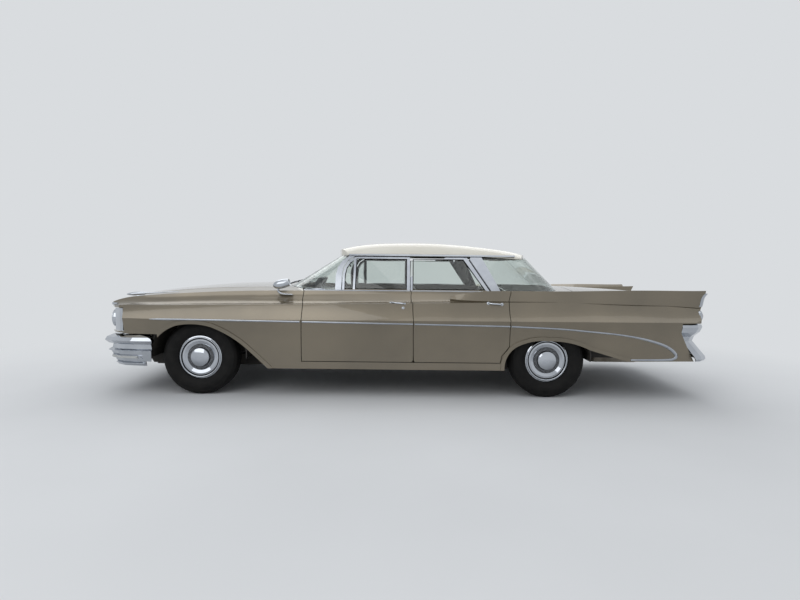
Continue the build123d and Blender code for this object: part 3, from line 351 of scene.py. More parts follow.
def mirrored(shape, side):
    return [Vector((v.x, v.y * side, v.z)) for v in shape[0]], shape[1]


def addPair(name, shape, finishName="chrome", door=None):
    # the right-hand shape and its mirror image, on the car or on that side's door
    pair = []
    for sideName, side in bothSides:
        body = door + "_" + sideName if door else "car"
        pair.append(addPiece(name + "_" + sideName, mirrored(shape, side), finishName, body))
    return pair


def joinShapes(*shapes):
    # several (verts, faces) as one
    verts, faces = [], []
    for someVerts, someFaces in shapes:
        base = len(verts)
        verts.extend(someVerts)
        faces.extend([tuple(base + i for i in face) for face in someFaces])
    return verts, faces


def ringFaces(rings, count, loop=False):
    # faces between rings of count points each: the last ring meets the first, or both end rings are closed
    faces = []
    for i in range(rings if loop else rings - 1):
        a, b = i * count, (i + 1) % rings * count
        faces += [(a + j, a + (j + 1) % count, b + (j + 1) % count, b + j) for j in range(count)]
    return faces if loop else faces + [tuple(range(count)), tuple(range((rings - 1) * count, rings * count))]


def gridFaces(rows, columns):
    return [(i * columns + j, i * columns + j + 1, (i + 1) * columns + j + 1, (i + 1) * columns + j)
            for i in range(rows - 1) for j in range(columns - 1)]


def gridRim(rows, columns):
    # the numbers of a grid's edge points, in order round it
    last = (rows - 1) * columns
    return ([i * columns for i in range(rows)] + [last + j for j in range(1, columns)]
            + [(i + 1) * columns - 1 for i in range(rows - 2, -1, -1)] + list(range(columns - 2, 0, -1)))


def roundSection(a, b, parts, power=1.0):
    # an oval of two half sizes, squarer at the corners with a power below one
    return [(a * math.copysign(abs(math.cos(t)) ** power, math.cos(t)),
             b * math.copysign(abs(math.sin(t)) ** power, math.sin(t))) for t in fullTurn(parts)]


def lathe(profile, centre, axis, turns, hollow=False):
    # profile: (distance along the axis, radius) pairs, turned about the axis; a hollow one closes on itself
    axis = Vector(axis).normalized()
    side = axis.orthogonal().normalized()
    up = axis.cross(side)
    verts = []
    for angle in fullTurn(turns):
        spoke = side * math.cos(angle) + up * math.sin(angle)
        verts.extend(Vector(centre) + axis * along + spoke * radius for along, radius in profile)
    count = len(profile)
    faces = ringFaces(turns, count, True)
    if not hollow:
        faces = [face for i, face in enumerate(faces) if i % count < count - 1]
        faces += [tuple(range(0, turns * count, count)), tuple(range(count - 1, turns * count, count))]
    return verts, faces


def smoothLine(points, step):
    # points spaced evenly on a curve that passes through the given points
    pts = [Vector(p) for p in points]
    pts = [pts[0] * 2 - pts[1]] + pts + [pts[-1] * 2 - pts[-2]]
    line = [pts[1]]
    for i in range(1, len(pts) - 2):
        a, b, c, d = pts[i - 1:i + 3]
        parts = max(1, round((c - b).length / step))
        for t in [j / parts for j in range(1, parts + 1)]:
            line.append(0.5 * (2 * b + (c - a) * t + (2 * a - 5 * b + 4 * c - d) * t * t
                               + (3 * b - a - 3 * c + d) * t ** 3))
    return line


def sweepAlong(points, outs, section, sizes=None):
    # section: (out, across) pairs round the moulding, carried along the points; outs may be one direction
    verts = []
    last = len(points) - 1
    for i, point in enumerate(points):
        out = outs if isinstance(outs, Vector) else outs[i]
        along = (points[min(i + 1, last)] - points[max(i - 1, 0)]).normalized()
        up = (out - along * out.dot(along)).normalized()
        across = along.cross(up)
        size = sizes[i] if sizes else 1.0
        verts.extend(point + up * (o * size) + across * (a * size) for o, a in section)
    return verts, ringFaces(len(points), len(section))


def tubeAlong(points, radius, out, sides=10):
    return sweepAlong(points, out, roundSection(radius, radius, sides))


def skinTree(*names):
    verts, faces = [], []
    for name in names:
        mesh = nodes[name].data
        base = len(verts)
        verts.extend(nodes[name].matrix_world @ v.co for v in mesh.vertices)
        faces.extend(tuple(base + i for i in p.vertices) for p in mesh.polygons)
    return BVHTree.FromPolygons(verts, faces)


skins = {name: skinTree(name) for name in ("front_fenders", "front_door_right", "rear_door_right",
                                           "rear_quarters", "front_bumper", "boot_lid", "windscreen",
                                           "cowl_panel", "engine_block")}
skins["upper"] = skinTree("hood", "front_fenders", "cowl_panel", *doorNodes, "rear_quarters")


def besideSkin(skinName, x, z):
    # the skin's point and outward direction on the right-hand side
    hit, normal = skins[skinName].ray_cast(Vector((x, 1.6, z)), -rightward)[:2]
    return hit and (hit, normal if normal.y > 0 else -normal)


def onTop(skinName, x, y, start=1.3):
    # the skin's point straight below the start
    return skins[skinName].ray_cast(Vector((x, y, start)), -upward)[0]


def skinLine(skinName, line, step):
    # a line of (x, z) laid on the right-hand skin, with its outward directions evened out
    found = [besideSkin(skinName, p.x, p.z) for p in smoothLine([(x, 0, z) for x, z in line], step)]
    found = [pair for pair in found if pair and pair[0].y > 0.7]
    outs = [out for hit, out in found]
    evened = [sum(outs[max(0, i - 3):i + 4], Vector()).normalized() for i in range(len(outs))]
    return [hit for hit, out in found], evened


def domedStrip(width, height, sink=0.002):
    # section of a rolled moulding: flat foot just under the skin, domed face
    half = width / 2
    rise = ((-sink, 1), (height * 0.55, 0.86), (height * 0.92, 0.45))
    return ([(out, -half * share) for out, share in rise] + [(height, 0.0)]
            + [(out, half * share) for out, share in reversed(rise)])


# Side spear: one strip for each panel it crosses, then the sweep and hook on the rear quarter

spear = {
    "width": 0.017, "height": 0.007,
    "line": ((-2.235, 0.681), (-1.787, 0.681), (-0.917, 0.673), (0.059, 0.662), (0.909, 0.649),
             (1.351, 0.63), (1.602, 0.609), (1.853, 0.585), (2.055, 0.553), (2.207, 0.514), (2.309, 0.475),
             (2.375, 0.428)),
    "hook": ((2.398, 0.394), (2.372, 0.366), (2.29, 0.358), (2.15, 0.357), (1.985, 0.357)),
    "spans": {"front_fenders": (-2.235, -0.903), "front_door_right": (-0.896, 0.066),
              "rear_door_right": (0.08, 0.911), "rear_quarters": (0.924, 3.0)},
}


def spearAt(x):
    for (x0, z0), (x1, z1) in zip(spear["line"], spear["line"][1:]):
        if x0 <= x <= x1:
            return x, z0 + (z1 - z0) * (x - x0) / (x1 - x0)


for nodeName, (startX, endX) in spear["spans"].items():
    atTail, atNose = nodeName == "rear_quarters", nodeName == "front_fenders"
    line = [spearAt(startX)] + [p for p in spear["line"] if startX < p[0] < endX]
    line += spear["hook"] if atTail else [spearAt(endX)]
    points, outs = skinLine(nodeName, line, 0.025)
    sizes = None
    if atTail:
        # the moulding swells towards the hook and thins again along the bottom edge
        sizes = [1.0 + 0.75 * max(0.0, 1 - abs(p.x - 2.36) / 0.42) * (1 if p.z > 0.37 else 0.55)
                 for p in points]
    if atNose:
        sizes = [min(1.0, 0.35 + (p.x + 2.235) / 0.12) for p in points]
    strip = sweepAlong(points, outs, domedStrip(spear["width"], spear["height"]), sizes)
    plainName = nodeName.replace("_right", "")
    addPair("spear_" + plainName, strip, "stainless", door=plainName if "door" in plainName else None)
print("side spears laid")


# Fender-top ornaments and the mirror

ornament = {"place": 0.795, "front": -2.523, "level": 0.887, "keel": (-2.43, -2.365)}


def sightOnFender():
    # a level torpedo on a keel, with a long thin tail that meets the fender
    stations = ((0.0, 0.001, 0.003), (0.02, 0.008, 0.018), (0.06, 0.013, 0.03), (0.12, 0.015, 0.034),
                (0.155, 0.013, 0.03), (0.175, 0.007, 0.016), (0.2, 0.0055, 0.012), (0.34, 0.004, 0.009),
                (0.474, 0.0015, 0.003))
    y, level = ornament["place"], ornament["level"]
    ring = 16
    verts = []
    for distance, halfWidth, height in stations:
        x = ornament["front"] + distance
        middle = max(level + 0.012 * distance / 0.2, onTop("upper", x, y).z + height * 0.4)
        verts += [Vector((x, y + a, middle + b)) for a, b in roundSection(halfWidth, height * 0.5, ring)]
    keel = [onTop("upper", x, y) for x in spread(*ornament["keel"], 9)]
    rise = level - keel[4].z
    foot = sweepAlong(keel, upward, ((-0.004, -0.005), (0.001, -0.004), (rise, -0.003), (rise, 0.003),
                                     (0.001, 0.004), (-0.004, 0.005)))
    return joinShapes((verts, ringFaces(len(stations), ring)), foot)


addPair("fender_sight", sightOnFender())

mirrorShape = {"tip": (-1.172, -0.905, 0.978), "aim": (1, -0.03, 0.24)}


def fenderMirror():
    # a bullet shell on a swept foot
    head = lathe(((0.0, 0.0), (0.004, 0.014), (0.018, 0.027), (0.04, 0.037), (0.068, 0.042), (0.1, 0.041),
                  (0.13, 0.036), (0.146, 0.032), (0.15, 0.03), (0.147, 0.027), (0.143, 0.026), (0.143, 0.0)),
                 mirrorShape["tip"], mirrorShape["aim"], 44)
    stemLine = smoothLine(((-1.12, -0.902, 0.962), (-1.128, -0.899, 0.935), (-1.112, -0.896, 0.914),
                           (-1.07, -0.894, 0.905), (-1.000, -0.892, 0.903)), 0.008)
    for p in stemLine:
        if p.x > -1.1:
            p.z = max(p.z, onTop("upper", p.x, p.y).z + 0.003)
    stem = sweepAlong(stemLine, -rightward, roundSection(0.017, 0.01, 14), spread(1.0, 0.55, len(stemLine)))
    return joinShapes(head, stem)


addPiece("fender_mirror", fenderMirror())
addPiece("fender_mirror_glass", lathe(((0.1432, 0.0), (0.1432, 0.0255), (0.1446, 0.0255), (0.1455, 0.0)),
                                      mirrorShape["tip"], mirrorShape["aim"], 40))
print("fender ornaments and mirror placed")


# Door handles: a bar on two feet with a push button at its rear end

handles = {"front_door": (-0.14, 0.004), "rear_door": (0.712, 0.856)}


def doorHandle(door, startX, endX):
    # the grip stands straight off the door, so that it reads as one level bar from the side
    ends = [besideSkin(door + "_right", x, z) for x, z in ((startX + 0.012, 0.846), (endX - 0.012, 0.838))]
    footA, footB = [foot for foot, out in ends]
    off = rightward
    line = smoothLine((footA - off * 0.004, footA + off * 0.014 + rearward * 0.01,
                       footA.lerp(footB, 0.35) + off * 0.024, footA.lerp(footB, 0.72) + off * 0.024,
                       footB + off * 0.016 - rearward * 0.012, footB - off * 0.004), 0.006)
    grip = sweepAlong(line, off, roundSection(0.0045, 0.0065, 12))
    plates = [lathe(((-0.004, 0.0), (-0.004, 0.014), (0.002, 0.0135), (0.004, 0.01), (0.004, 0.0)),
                    foot, out, 28) for foot, out in ends]
    button = lathe(((0.0, 0.0), (0.0, 0.0075), (0.012, 0.0075), (0.014, 0.006), (0.014, 0.0)),
                   footB + Vector((0.004, 0, -0.001)), off, 24)
    return joinShapes(grip, button, *plates)


for door, span in handles.items():
    addPair("handle_" + door, doorHandle(door, *span), door=door)
print("door handles placed")


# Mouldings round the windscreen and rear window, where the glass meets the body

glassCurves = {
    "windscreen": (((-0.6, 0.806), (-0.85, 0.792), (-1.04, 0.7), (-1.14, 0.48), (-1.176, 0.0)),
                   ((-0.47, 0.686), (-0.51, 0.676), (-0.56, 0.64), (-0.6, 0.52), (-0.64, 0.0))),
    "rear_window": (((0.84, 0.812), (1.05, 0.8), (1.35, 0.69), (1.48, 0.43), (1.512, 0.0)),
                    ((0.6, 0.69), (0.9, 0.682), (1.08, 0.61), (1.12, 0.4), (1.15, 0.0))),
}
glassLow, glassHigh = 0.9, 1.262


def arcThrough(a, b, c, parts):
    # points on the circle through three plan points
    ax, ay, bx, by, cx, cy = *a, *b, *c
    aa, bb, cc = ax * ax + ay * ay, bx * bx + by * by, cx * cx + cy * cy
    d = 2 * (ax * (by - cy) + bx * (cy - ay) + cx * (ay - by))
    ux = (aa * (by - cy) + bb * (cy - ay) + cc * (ay - by)) / d
    uy = (aa * (cx - bx) + bb * (ax - cx) + cc * (bx - ax)) / d
    radius = math.hypot(ax - ux, ay - uy)
    angles = [math.atan2(y - uy, x - ux) for x, y in (a, b, c)]
    for i in (1, 2):
        # each angle within half a turn of the one before
        angles[i] = angles[i - 1] + math.remainder(angles[i] - angles[i - 1], 2 * math.pi)
    turn = angles[2] - angles[0]
    return [(ux + radius * math.cos(angles[0] + turn * i / parts),
             uy + radius * math.sin(angles[0] + turn * i / parts)) for i in range(parts + 1)]


def planCurve(rows):
    p0, p1, p2, p3, p4 = rows
    half = [(p0[0] + (p1[0] - p0[0]) * i / 6, p0[1] + (p1[1] - p0[1]) * i / 6) for i in range(6)]
    half += arcThrough(p1, p2, p3, 14)[:-1]
    return half + arcThrough(p3, p4, (p3[0], -p3[1]), 24) + [(x, -y) for x, y in reversed(half)]


def glassFoot(name, middleX):
    # where the line of the glass, carried on downwards, meets the body
    points, outs = [], []
    for (lowX, lowY), (highX, highY) in zip(*[planCurve(rows) for rows in glassCurves[name]]):
        bottom, top = Vector((lowX, lowY, glassLow)), Vector((highX, highY, glassHigh))
        out = Vector((lowX - middleX, lowY, 0.0)).normalized()
        hit = skins["upper"].ray_cast(bottom.lerp(top, 0.75) + out * 0.004, (bottom - top).normalized())[0]
        if hit and not -0.66 <= hit.x <= 0.88:
            points.append(hit)
            outs.append((out + upward).normalized())
    return points, outs


for name, middleX in (("windscreen", -0.3), ("rear_window", 0.3)):
    addPiece(name + "_moulding", sweepAlong(*glassFoot(name, middleX), domedStrip(0.018, 0.009, 0.006)),
             "stainless")
print("glass mouldings laid")


# Tyres: moulded tread and sidewalls in place of the plain rings

tyre = {"radius": 0.3326, "treadHalf": 0.062, "groove": ((-0.0032, 0.0), (-0.0018, 0.006), (0.0018, 0.006),
                                                         (0.0032, 0.0)),
        "grooves": (-0.042, -0.021, 0.0, 0.021, 0.042), "zigzag": 0.0016, "teeth": 70}


def tyreShape(centre):
    # the ring in angular steps; each groove wanders in a zigzag round the tread
    steps = tyre["teeth"] * 2
    wall = [(0.066, 0.193), (0.0775, 0.196), (0.083, 0.204), (0.092, 0.218), (0.0995, 0.236),
            (0.103, 0.25), (0.1015, 0.262), (0.1022, 0.2655), (0.1, 0.275), (0.0955, 0.293),
            (0.093, 0.3005), (0.0935, 0.303), (0.0895, 0.308), (0.08, 0.32), (0.07, 0.329),
            (tyre["treadHalf"], 0.3316)]
    tread = [(middle + across, tyre["radius"] - deep, 1)
             for middle in tyre["grooves"] for across, deep in tyre["groove"]]
    profile = [(-a, r, 0) for a, r in reversed(wall)] + tread + [(a, r, 0) for a, r in wall]
    verts = []
    for i, angle in enumerate(fullTurn(steps)):
        spoke = Vector((math.cos(angle), 0, math.sin(angle)))
        wander = tyre["zigzag"] * (1 if i % 2 else -1)
        verts += [centre + spoke * radius + rightward * (across + wander * moves)
                  for across, radius, moves in profile]
    return verts, ringFaces(steps, len(profile), True)


for place, (axleX, middleY) in wheelPlaces.items():
    piece = addPiece("tyre_tread_" + place, tyreShape(Vector((axleX, middleY, axleZ))), "rubber",
                     "wheel_" + place, 28)
    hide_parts("tyre_" + place)
print("tyres moulded")


# Blocks in rings and rows, made by node trees; first the ribs round the cap of each wheel cover

coverRibs = {"size": (0.0285, 0.0022, 0.005), "count": 56, "radius": 0.1015, "face": 0.0635}


def blockTree(name, ring):
    # the same block stood on each point of a guide mesh, or on a circle and turned to face outwards
    tree = bpy.data.node_groups.new(name, "GeometryNodeTree")
    for socketName, kind in (("Geometry", "Geometry"), ("Count", "Int"), ("Radius", "Float"),
                             ("Size", "Vector"), ("Finish", "Material")):
        tree.interface.new_socket(socketName, in_out="INPUT", socket_type="NodeSocket" + kind)
    tree.interface.new_socket("Geometry", in_out="OUTPUT", socket_type="NodeSocketGeometry")
    given = addNode(tree, "NodeGroupInput").outputs
    block = addNode(tree, "GeometryNodeMeshCube", None, {"Size": given["Size"]})
    links = {"Points": given["Geometry"], "Instance": block.outputs["Mesh"]}
    if ring:
        circle = addNode(tree, "GeometryNodeMeshCircle", None,
                         {"Vertices": given["Count"], "Radius": given["Radius"]})
        place = addNode(tree, "GeometryNodeInputPosition")
        turned = addNode(tree, "FunctionNodeAlignRotationToVector", {"axis": "X"},
                         {"Vector": place.outputs["Position"]})
        links.update({"Points": circle.outputs["Mesh"], "Rotation": turned.outputs["Rotation"]})
    stood = addNode(tree, "GeometryNodeInstanceOnPoints", None, links)
    real = addNode(tree, "GeometryNodeRealizeInstances", None, {"Geometry": stood.outputs["Instances"]})
    coated = addNode(tree, "GeometryNodeSetMaterial", None,
                     {"Geometry": real.outputs["Geometry"], "Material": given["Finish"]})
    addNode(tree, "NodeGroupOutput", None, {"Geometry": coated.outputs["Geometry"]})
    return tree


def meshNow(holder):
    # the plain mesh that an object's modifiers make
    bpy.context.view_layer.update()
    return bpy.data.meshes.new_from_object(holder.evaluated_get(bpy.context.evaluated_depsgraph_get()))


def addBlocks(name, tree, size, finishName, slotName, points=(), body="car", place=Matrix(), **values):
    # runs a block tree on a mesh of guide points and stands what it makes as one piece
    holder = standAs("holder", newMesh("holder", (points, ())))
    modifier = holder.modifiers.new("grow", "NODES")
    modifier.node_group = tree
    values.update({"Size": size, "Finish": finish[finishName]})
    for item in tree.interface.items_tree:
        if item.in_out == "INPUT" and item.name in values:
            modifier[item.identifier] = values[item.name]
    mesh = meshNow(holder)
    bpy.data.objects.remove(holder)
    mesh.transform(place)
    finishPiece(name, mesh, finishName, body)


ringTree, rowTree = blockTree("ringOfRibs", True), blockTree("rowOfBlocks", False)
for place, (axleX, middleY) in wheelPlaces.items():
    # the ring is made flat about Z, then stood up to face along the axle
    face = Vector((axleX, middleY + math.copysign(coverRibs["face"], middleY), axleZ))
    addBlocks("cover_ribs_" + place, ringTree, coverRibs["size"], "stainless", "wheel_steel",
              body="wheel_" + place, place=Matrix.Translation(face) @ Matrix.Rotation(math.pi / 2, 4, "X"),
              Count=coverRibs["count"], Radius=coverRibs["radius"])
print("wheel cover ribs made")


# Lamps: bowls behind the head lamp glass, rims round the tail lamps

lamps = {"head": ((-2.65, 0.582), (-2.638, 0.758)), "headZ": 0.671,
         "tail": (0.68, 0.838), "tailX": 2.596, "tailZ": 0.745, "tailHalf": (0.078, 0.054)}


def lampBowl(glassX, y):
    return lathe(((0.024, 0.0695), (0.03, 0.069), (0.045, 0.052), (0.058, 0.033), (0.064, 0.014),
                  (0.06, 0.0), (0.07, 0.0), (0.07, 0.03), (0.06, 0.052), (0.046, 0.066), (0.036, 0.0705)),
                 (glassX, y, lamps["headZ"]), rearward, 40, True)


def ovalRim(middleY):
    # a bright rim round the oval lens, standing a little behind its dome
    section = ((0.0, 0.001), (0.0, 0.011), (0.01, 0.013), (0.028, 0.01), (0.036, 0.004), (0.034, 0.0005))
    turns = 56
    verts = []
    for angle in fullTurn(turns):
        verts += [Vector((lamps["tailX"] + along, middleY + (lamps["tailHalf"][0] + grow) * math.cos(angle),
                          lamps["tailZ"] + (lamps["tailHalf"][1] + grow) * math.sin(angle)))
                  for along, grow in section]
    return verts, ringFaces(turns, len(section), True)


addPair("lamp_bowls", joinShapes(*[lampBowl(*place) for place in lamps["head"]]))
addPair("tail_lamp_rims", joinShapes(*[ovalRim(y) for y in lamps["tail"]]))
print("lamps dressed")


# Benches: cushions and backs blown up from plain forms by a short cloth run, then sewn into channels

bench = {"voxel": 0.016, "pressure": 4.0, "frames": 20, "cap": 0.024, "channelPitch": 0.085,
         "channelDepth": 0.007, "channelWidth": 0.013, "half": 0.668, "insertHalf": 0.585,
         "plinthHalf": 0.235, "plinthMiddle": 0.425, "weltRadius": 0.0042, "fill": 0.85}
# each bench's outlines from the side; the spans of its inserts: along X on the cushion, Z on the back
benchForms = {
    "front_seat": {
        "cushion": ((-0.42, 0.462), (-0.476, 0.47), (-0.5, 0.5), (-0.486, 0.528), (-0.44, 0.536),
                    (-0.25, 0.532), (-0.1, 0.512), (-0.066, 0.51), (-0.058, 0.466)),
        "back": ((-0.02, 0.47), (-0.03, 0.56), (-0.014, 0.755), (0.03, 0.88), (0.074, 0.952),
                 (0.104, 0.97), (0.128, 0.948), (0.112, 0.84), (0.078, 0.62), (0.054, 0.47)),
        "plinth": ((-0.43, 0.314), (-0.43, 0.4), (-0.452, 0.462), (0.026, 0.462), (0.028, 0.4),
                   (0.028, 0.314)),
        "insert": {"cushion": (-0.455, -0.08), "back": (0.56, 0.9)},
    },
    "rear_seat": {
        "cushion": ((0.42, 0.46), (0.356, 0.462), (0.334, 0.49), (0.346, 0.516), (0.39, 0.524),
                    (0.52, 0.518), (0.64, 0.498), (0.664, 0.498), (0.668, 0.462)),
        "back": ((0.69, 0.462), (0.7, 0.56), (0.712, 0.706), (0.742, 0.822), (0.766, 0.872),
                 (0.79, 0.886), (0.808, 0.864), (0.8, 0.8), (0.77, 0.6), (0.748, 0.462)),
        "plinth": ((0.402, 0.314), (0.402, 0.366), (0.38, 0.46), (0.736, 0.46), (0.722, 0.366),
                   (0.722, 0.314)),
        "insert": {"cushion": (0.376, 0.65), "back": (0.55, 0.82)},
    },
}
# part: the coordinate its channels run along, and the way it faces
benchFaces = {"cushion": (0, upward), "back": (2, -rearward)}


def slabAcross(profile, halfAt, middle=0.0):
    # a side profile carried across the car, with its half width at each height
    count = len(profile)
    verts = [Vector((x, middle + side * halfAt(z), z)) for side in (1, -1) for x, z in profile]
    faces = [(i, (i + 1) % count, count + (i + 1) % count, count + i) for i in range(count)]
    return verts, faces + [tuple(range(count)), tuple(range(count, 2 * count))]


def plumped(name, shape):
    # remesh, a pressure run with every point held within the cap, then one smooth subdivision
    holder = standAs(name + "_work", facedOut(newMesh(name, shape)))
    remesh = holder.modifiers.new("remesh", "REMESH")
    remesh.mode = "VOXEL"
    remesh.voxel_size = bench["voxel"]
    base = meshNow(holder)
    holder.modifiers.clear()
    holder.data = base
    cloth = holder.modifiers.new("cloth", "CLOTH").settings
    cloth.use_pressure = True
    cloth.uniform_pressure_force = bench["pressure"]
    cloth.effector_weights.gravity = 0.0
    for frameNumber in range(1, bench["frames"] + 1):
        bpy.context.scene.frame_set(frameNumber)
    blown = meshNow(holder)
    holder.modifiers.clear()
    for start, vertex in zip(base.vertices, blown.vertices):
        moved = vertex.co - start.co
        if moved.length > bench["cap"]:
            vertex.co = start.co + moved * (bench["cap"] / moved.length)
    bpy.context.scene.frame_set(1)
    holder.data = blown
    holder.modifiers.new("evened", "SMOOTH").iterations = 4
    finer = holder.modifiers.new("finer", "SUBSURF")
    finer.levels = finer.render_levels = 1
    mesh = meshNow(holder)
    bpy.data.objects.remove(holder)
    return mesh


def sewChannels(mesh, alongIndex, facing, span):
    # presses sewn channels and the welt round them into the face that is sat on
    low, high = span
    pitch, depth, width, edge = [bench[key] for key in ("channelPitch", "channelDepth", "channelWidth",
                                                        "insertHalf")]
    moves = []
    for vertex in mesh.vertices:
        along, y = vertex.co[alongIndex], vertex.co.y
        if vertex.normal.dot(facing) < 0.5 or not low - 0.02 < along < high + 0.02 or abs(y) > edge + 0.02:
            continue
        across = abs((y / pitch + 0.5) % 1.0 - 0.5) * pitch
        inside = low < along < high and abs(y) < edge
        sink = depth * max(0.0, 1 - (across / width) ** 2) if inside else 0.0
        fromSide = abs(abs(y) - edge)
        border = min(abs(along - low), abs(along - high)) if abs(y) < edge else fromSide
        if low - 0.01 < along < high + 0.01 and fromSide < width:
            border = min(border, fromSide)
        sink = max(sink, depth * 1.2 * max(0.0, 1 - (border / width) ** 2))
        moves.append((vertex.index, vertex.normal * sink))
    for index, move in moves:
        mesh.vertices[index].co -= move


def upholster(name, mesh, alongIndex, facing, span):
    # cloth in the channels, smooth vinyl on the bolsters, ends and rear
    mesh.materials.clear()
    mesh.materials.append(finish["seatVinyl"])
    mesh.materials.append(finish["seatCloth"])
    for polygon in mesh.polygons:
        centre = polygon.center
        inside = span[0] < centre[alongIndex] < span[1] and abs(centre.y) < bench["insertHalf"]
        polygon.material_index = 1 if inside and polygon.normal.dot(facing) > 0.4 else 0
        polygon.use_smooth = True
    piece = stand(name, mesh, "car")
    return piece


def weltOn(mesh, points, probe):
    # a sewn welt laid on the pad along the given line
    tree = BVHTree.FromPolygons([v.co for v in mesh.vertices], [tuple(p.vertices) for p in mesh.polygons])
    found = [tree.ray_cast(Vector(p) - probe * 0.25, probe)[:2] for p in points]
    line, outs = zip(*[(hit + normal * 0.002, normal) for hit, normal in found if hit])
    return sweepAlong(line, outs, roundSection(bench["weltRadius"], bench["weltRadius"], 8))


for seatName, form in benchForms.items():
    pieces, welts = [], []
    for part, (alongIndex, facing) in benchFaces.items():
        taper = 0.45 if part == "back" else 0.0
        mesh = plumped(seatName + "_" + part,
                       slabAcross(form[part], lambda z: bench["half"] - max(0.0, z - 0.86) * taper))
        span = form["insert"][part]
        sewChannels(mesh, alongIndex, facing, span)
        pieces.append(upholster(seatName + "_" + part, mesh, alongIndex, facing, span))
        for y in (-bench["insertHalf"], bench["insertHalf"]):
            line = [(s, y, 0.5) if part == "cushion" else (form["back"][2][0], y, s)
                    for s in spread(*span, 15)]
            welts.append(weltOn(mesh, line, -facing))
    pieces.append(addPiece(seatName + "_welts", joinShapes(*welts), "seatVinyl"))
    stands = [slabAcross(form["plinth"], lambda z: bench["plinthHalf"], side * bench["plinthMiddle"])
              for side in (1, -1)]
    pieces.append(addPiece(seatName + "_stand", joinShapes(*stands), "doorVinyl"))
    for piece in pieces:
        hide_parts(seatName)
print("benches upholstered")


# Door trim: a cloth panel between two bright strips, arm rest, window crank and latch handle

doorTrim = {"front_door": {"span": (-0.85, 0.02), "arm": (-0.5, -0.14), "crank": -0.62, "latch": -0.22},
            "rear_door": {"span": (0.12, 0.8), "arm": (0.36, 0.66), "crank": 0.26, "latch": 0.6}}
# low edge, high edge and thickness of each board, and the levels of the strips, arm rest, crank and latch
cardLevels = {"card": (0.56, 0.8, 0.009), "kick": (0.35, 0.52, 0.006), "strips": (0.812, 0.548),
              "arm": 0.64, "crank": 0.7, "latch": 0.78}


def cardAt(x, z, off=0.0):
    # a point on the inner face of a right-hand door, standing off into the cabin
    half = 0.8 if z > 0.94 else 0.8 + (0.94 - z) / 0.624 * 0.05
    return Vector((x, half - off, z))


def cardPanel(span, low, high, thick):
    # a thin padded board with a soft edge
    edge = ((0.0, 0.0), (0.004, thick * 0.7), (0.012, thick))
    xs = [span[0] + a for a, b in edge] + [span[1] - a for a, b in reversed(edge)]
    zs = [low + a for a, b in edge] + [high - a for a, b in reversed(edge)]
    lift = [b for a, b in edge + edge[::-1]]
    verts = [cardAt(x, z, min(lift[i], lift[j])) for i, x in enumerate(xs) for j, z in enumerate(zs)]
    rim = gridRim(6, 6)
    base, count = len(verts), len(rim)
    verts += [cardAt(xs[k // 6], zs[k % 6], -0.002) for k in rim]
    sides = [(rim[k], rim[(k + 1) % count], base + (k + 1) % count, base + k) for k in range(count)]
    return verts, gridFaces(6, 6) + sides + [tuple(range(base, base + count))]


def stripAlong(span, z):
    return sweepAlong([cardAt(x, z) for x in spread(*span, 13)], -rightward, domedStrip(0.014, 0.01, 0.001))


def armRest(span):
    # a long soft block, deepest at its middle, rounded at both ends
    stations, ring = 15, 16
    verts = []
    for t, x in zip(spread(0.0, 1.0, stations), spread(*span, stations)):
        swell = min(1.0, math.sin(math.pi * (0.06 + 0.88 * t)) ** 0.45)
        for angle in fullTurn(ring):
            reach = 0.03 * swell * (1 - math.cos(angle)) - 0.002
            rise = 0.026 * (0.6 + 0.4 * swell) * math.sin(angle) * (1.15 - 0.15 * math.cos(angle))
            verts.append(cardAt(x, cardLevels["arm"] + 0.02 * t + rise, reach))
    return verts, ringFaces(stations, ring)


def crankAndLatch(crankX, latchX):
    inward = -rightward
    lever = roundSection(0.004, 0.009, 10)
    pivot = cardAt(crankX, cardLevels["crank"])
    elbow = pivot + inward * 0.024
    knobFoot = elbow + Vector((0.088, -0.006, -0.034))
    crankLine = smoothLine((elbow, elbow.lerp(knobFoot, 0.5) + inward * 0.004, knobFoot), 0.012)
    latchFoot = cardAt(latchX, cardLevels["latch"])
    latchLine = smoothLine((latchFoot + inward * 0.012, latchFoot + Vector((-0.03, -0.02, 0.002)),
                            latchFoot + Vector((-0.085, -0.024, 0.0))), 0.01)
    return joinShapes(
        lathe(((-0.002, 0.0), (-0.002, 0.024), (0.006, 0.022), (0.016, 0.012), (0.026, 0.011), (0.028, 0.0)),
              pivot, inward, 28),
        sweepAlong(crankLine, inward, lever),
        lathe(((-0.004, 0.0), (-0.004, 0.01), (0.006, 0.009), (0.016, 0.013), (0.03, 0.012), (0.034, 0.006),
               (0.034, 0.0)), knobFoot, inward, 24),
        lathe(((-0.002, 0.0), (-0.002, 0.02), (0.005, 0.018), (0.014, 0.01), (0.014, 0.0)),
              latchFoot, inward, 24),
        sweepAlong(latchLine, inward, lever))


for door, trim in doorTrim.items():
    tag = door.replace("_door", "")
    span = trim["span"]
    strips = joinShapes(*[stripAlong(span, z) for z in cardLevels["strips"]])
    addPair("door_card_" + tag, cardPanel(span, *cardLevels["card"]), "seatCloth", door)
    addPair("kick_panel_" + tag, cardPanel(span, *cardLevels["kick"]), "carpet", door)
    addPair("door_strips_" + tag, strips, "stainless", door=door)
    addPair("door_controls_" + tag, crankAndLatch(trim["crank"], trim["latch"]), door=door)
    for rest in addPair("arm_rest_" + tag, armRest(trim["arm"]), "seatVinyl", door):
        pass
print("doors trimmed")


# Horn ring and cap, levers, pedals, dashboard dials and trim

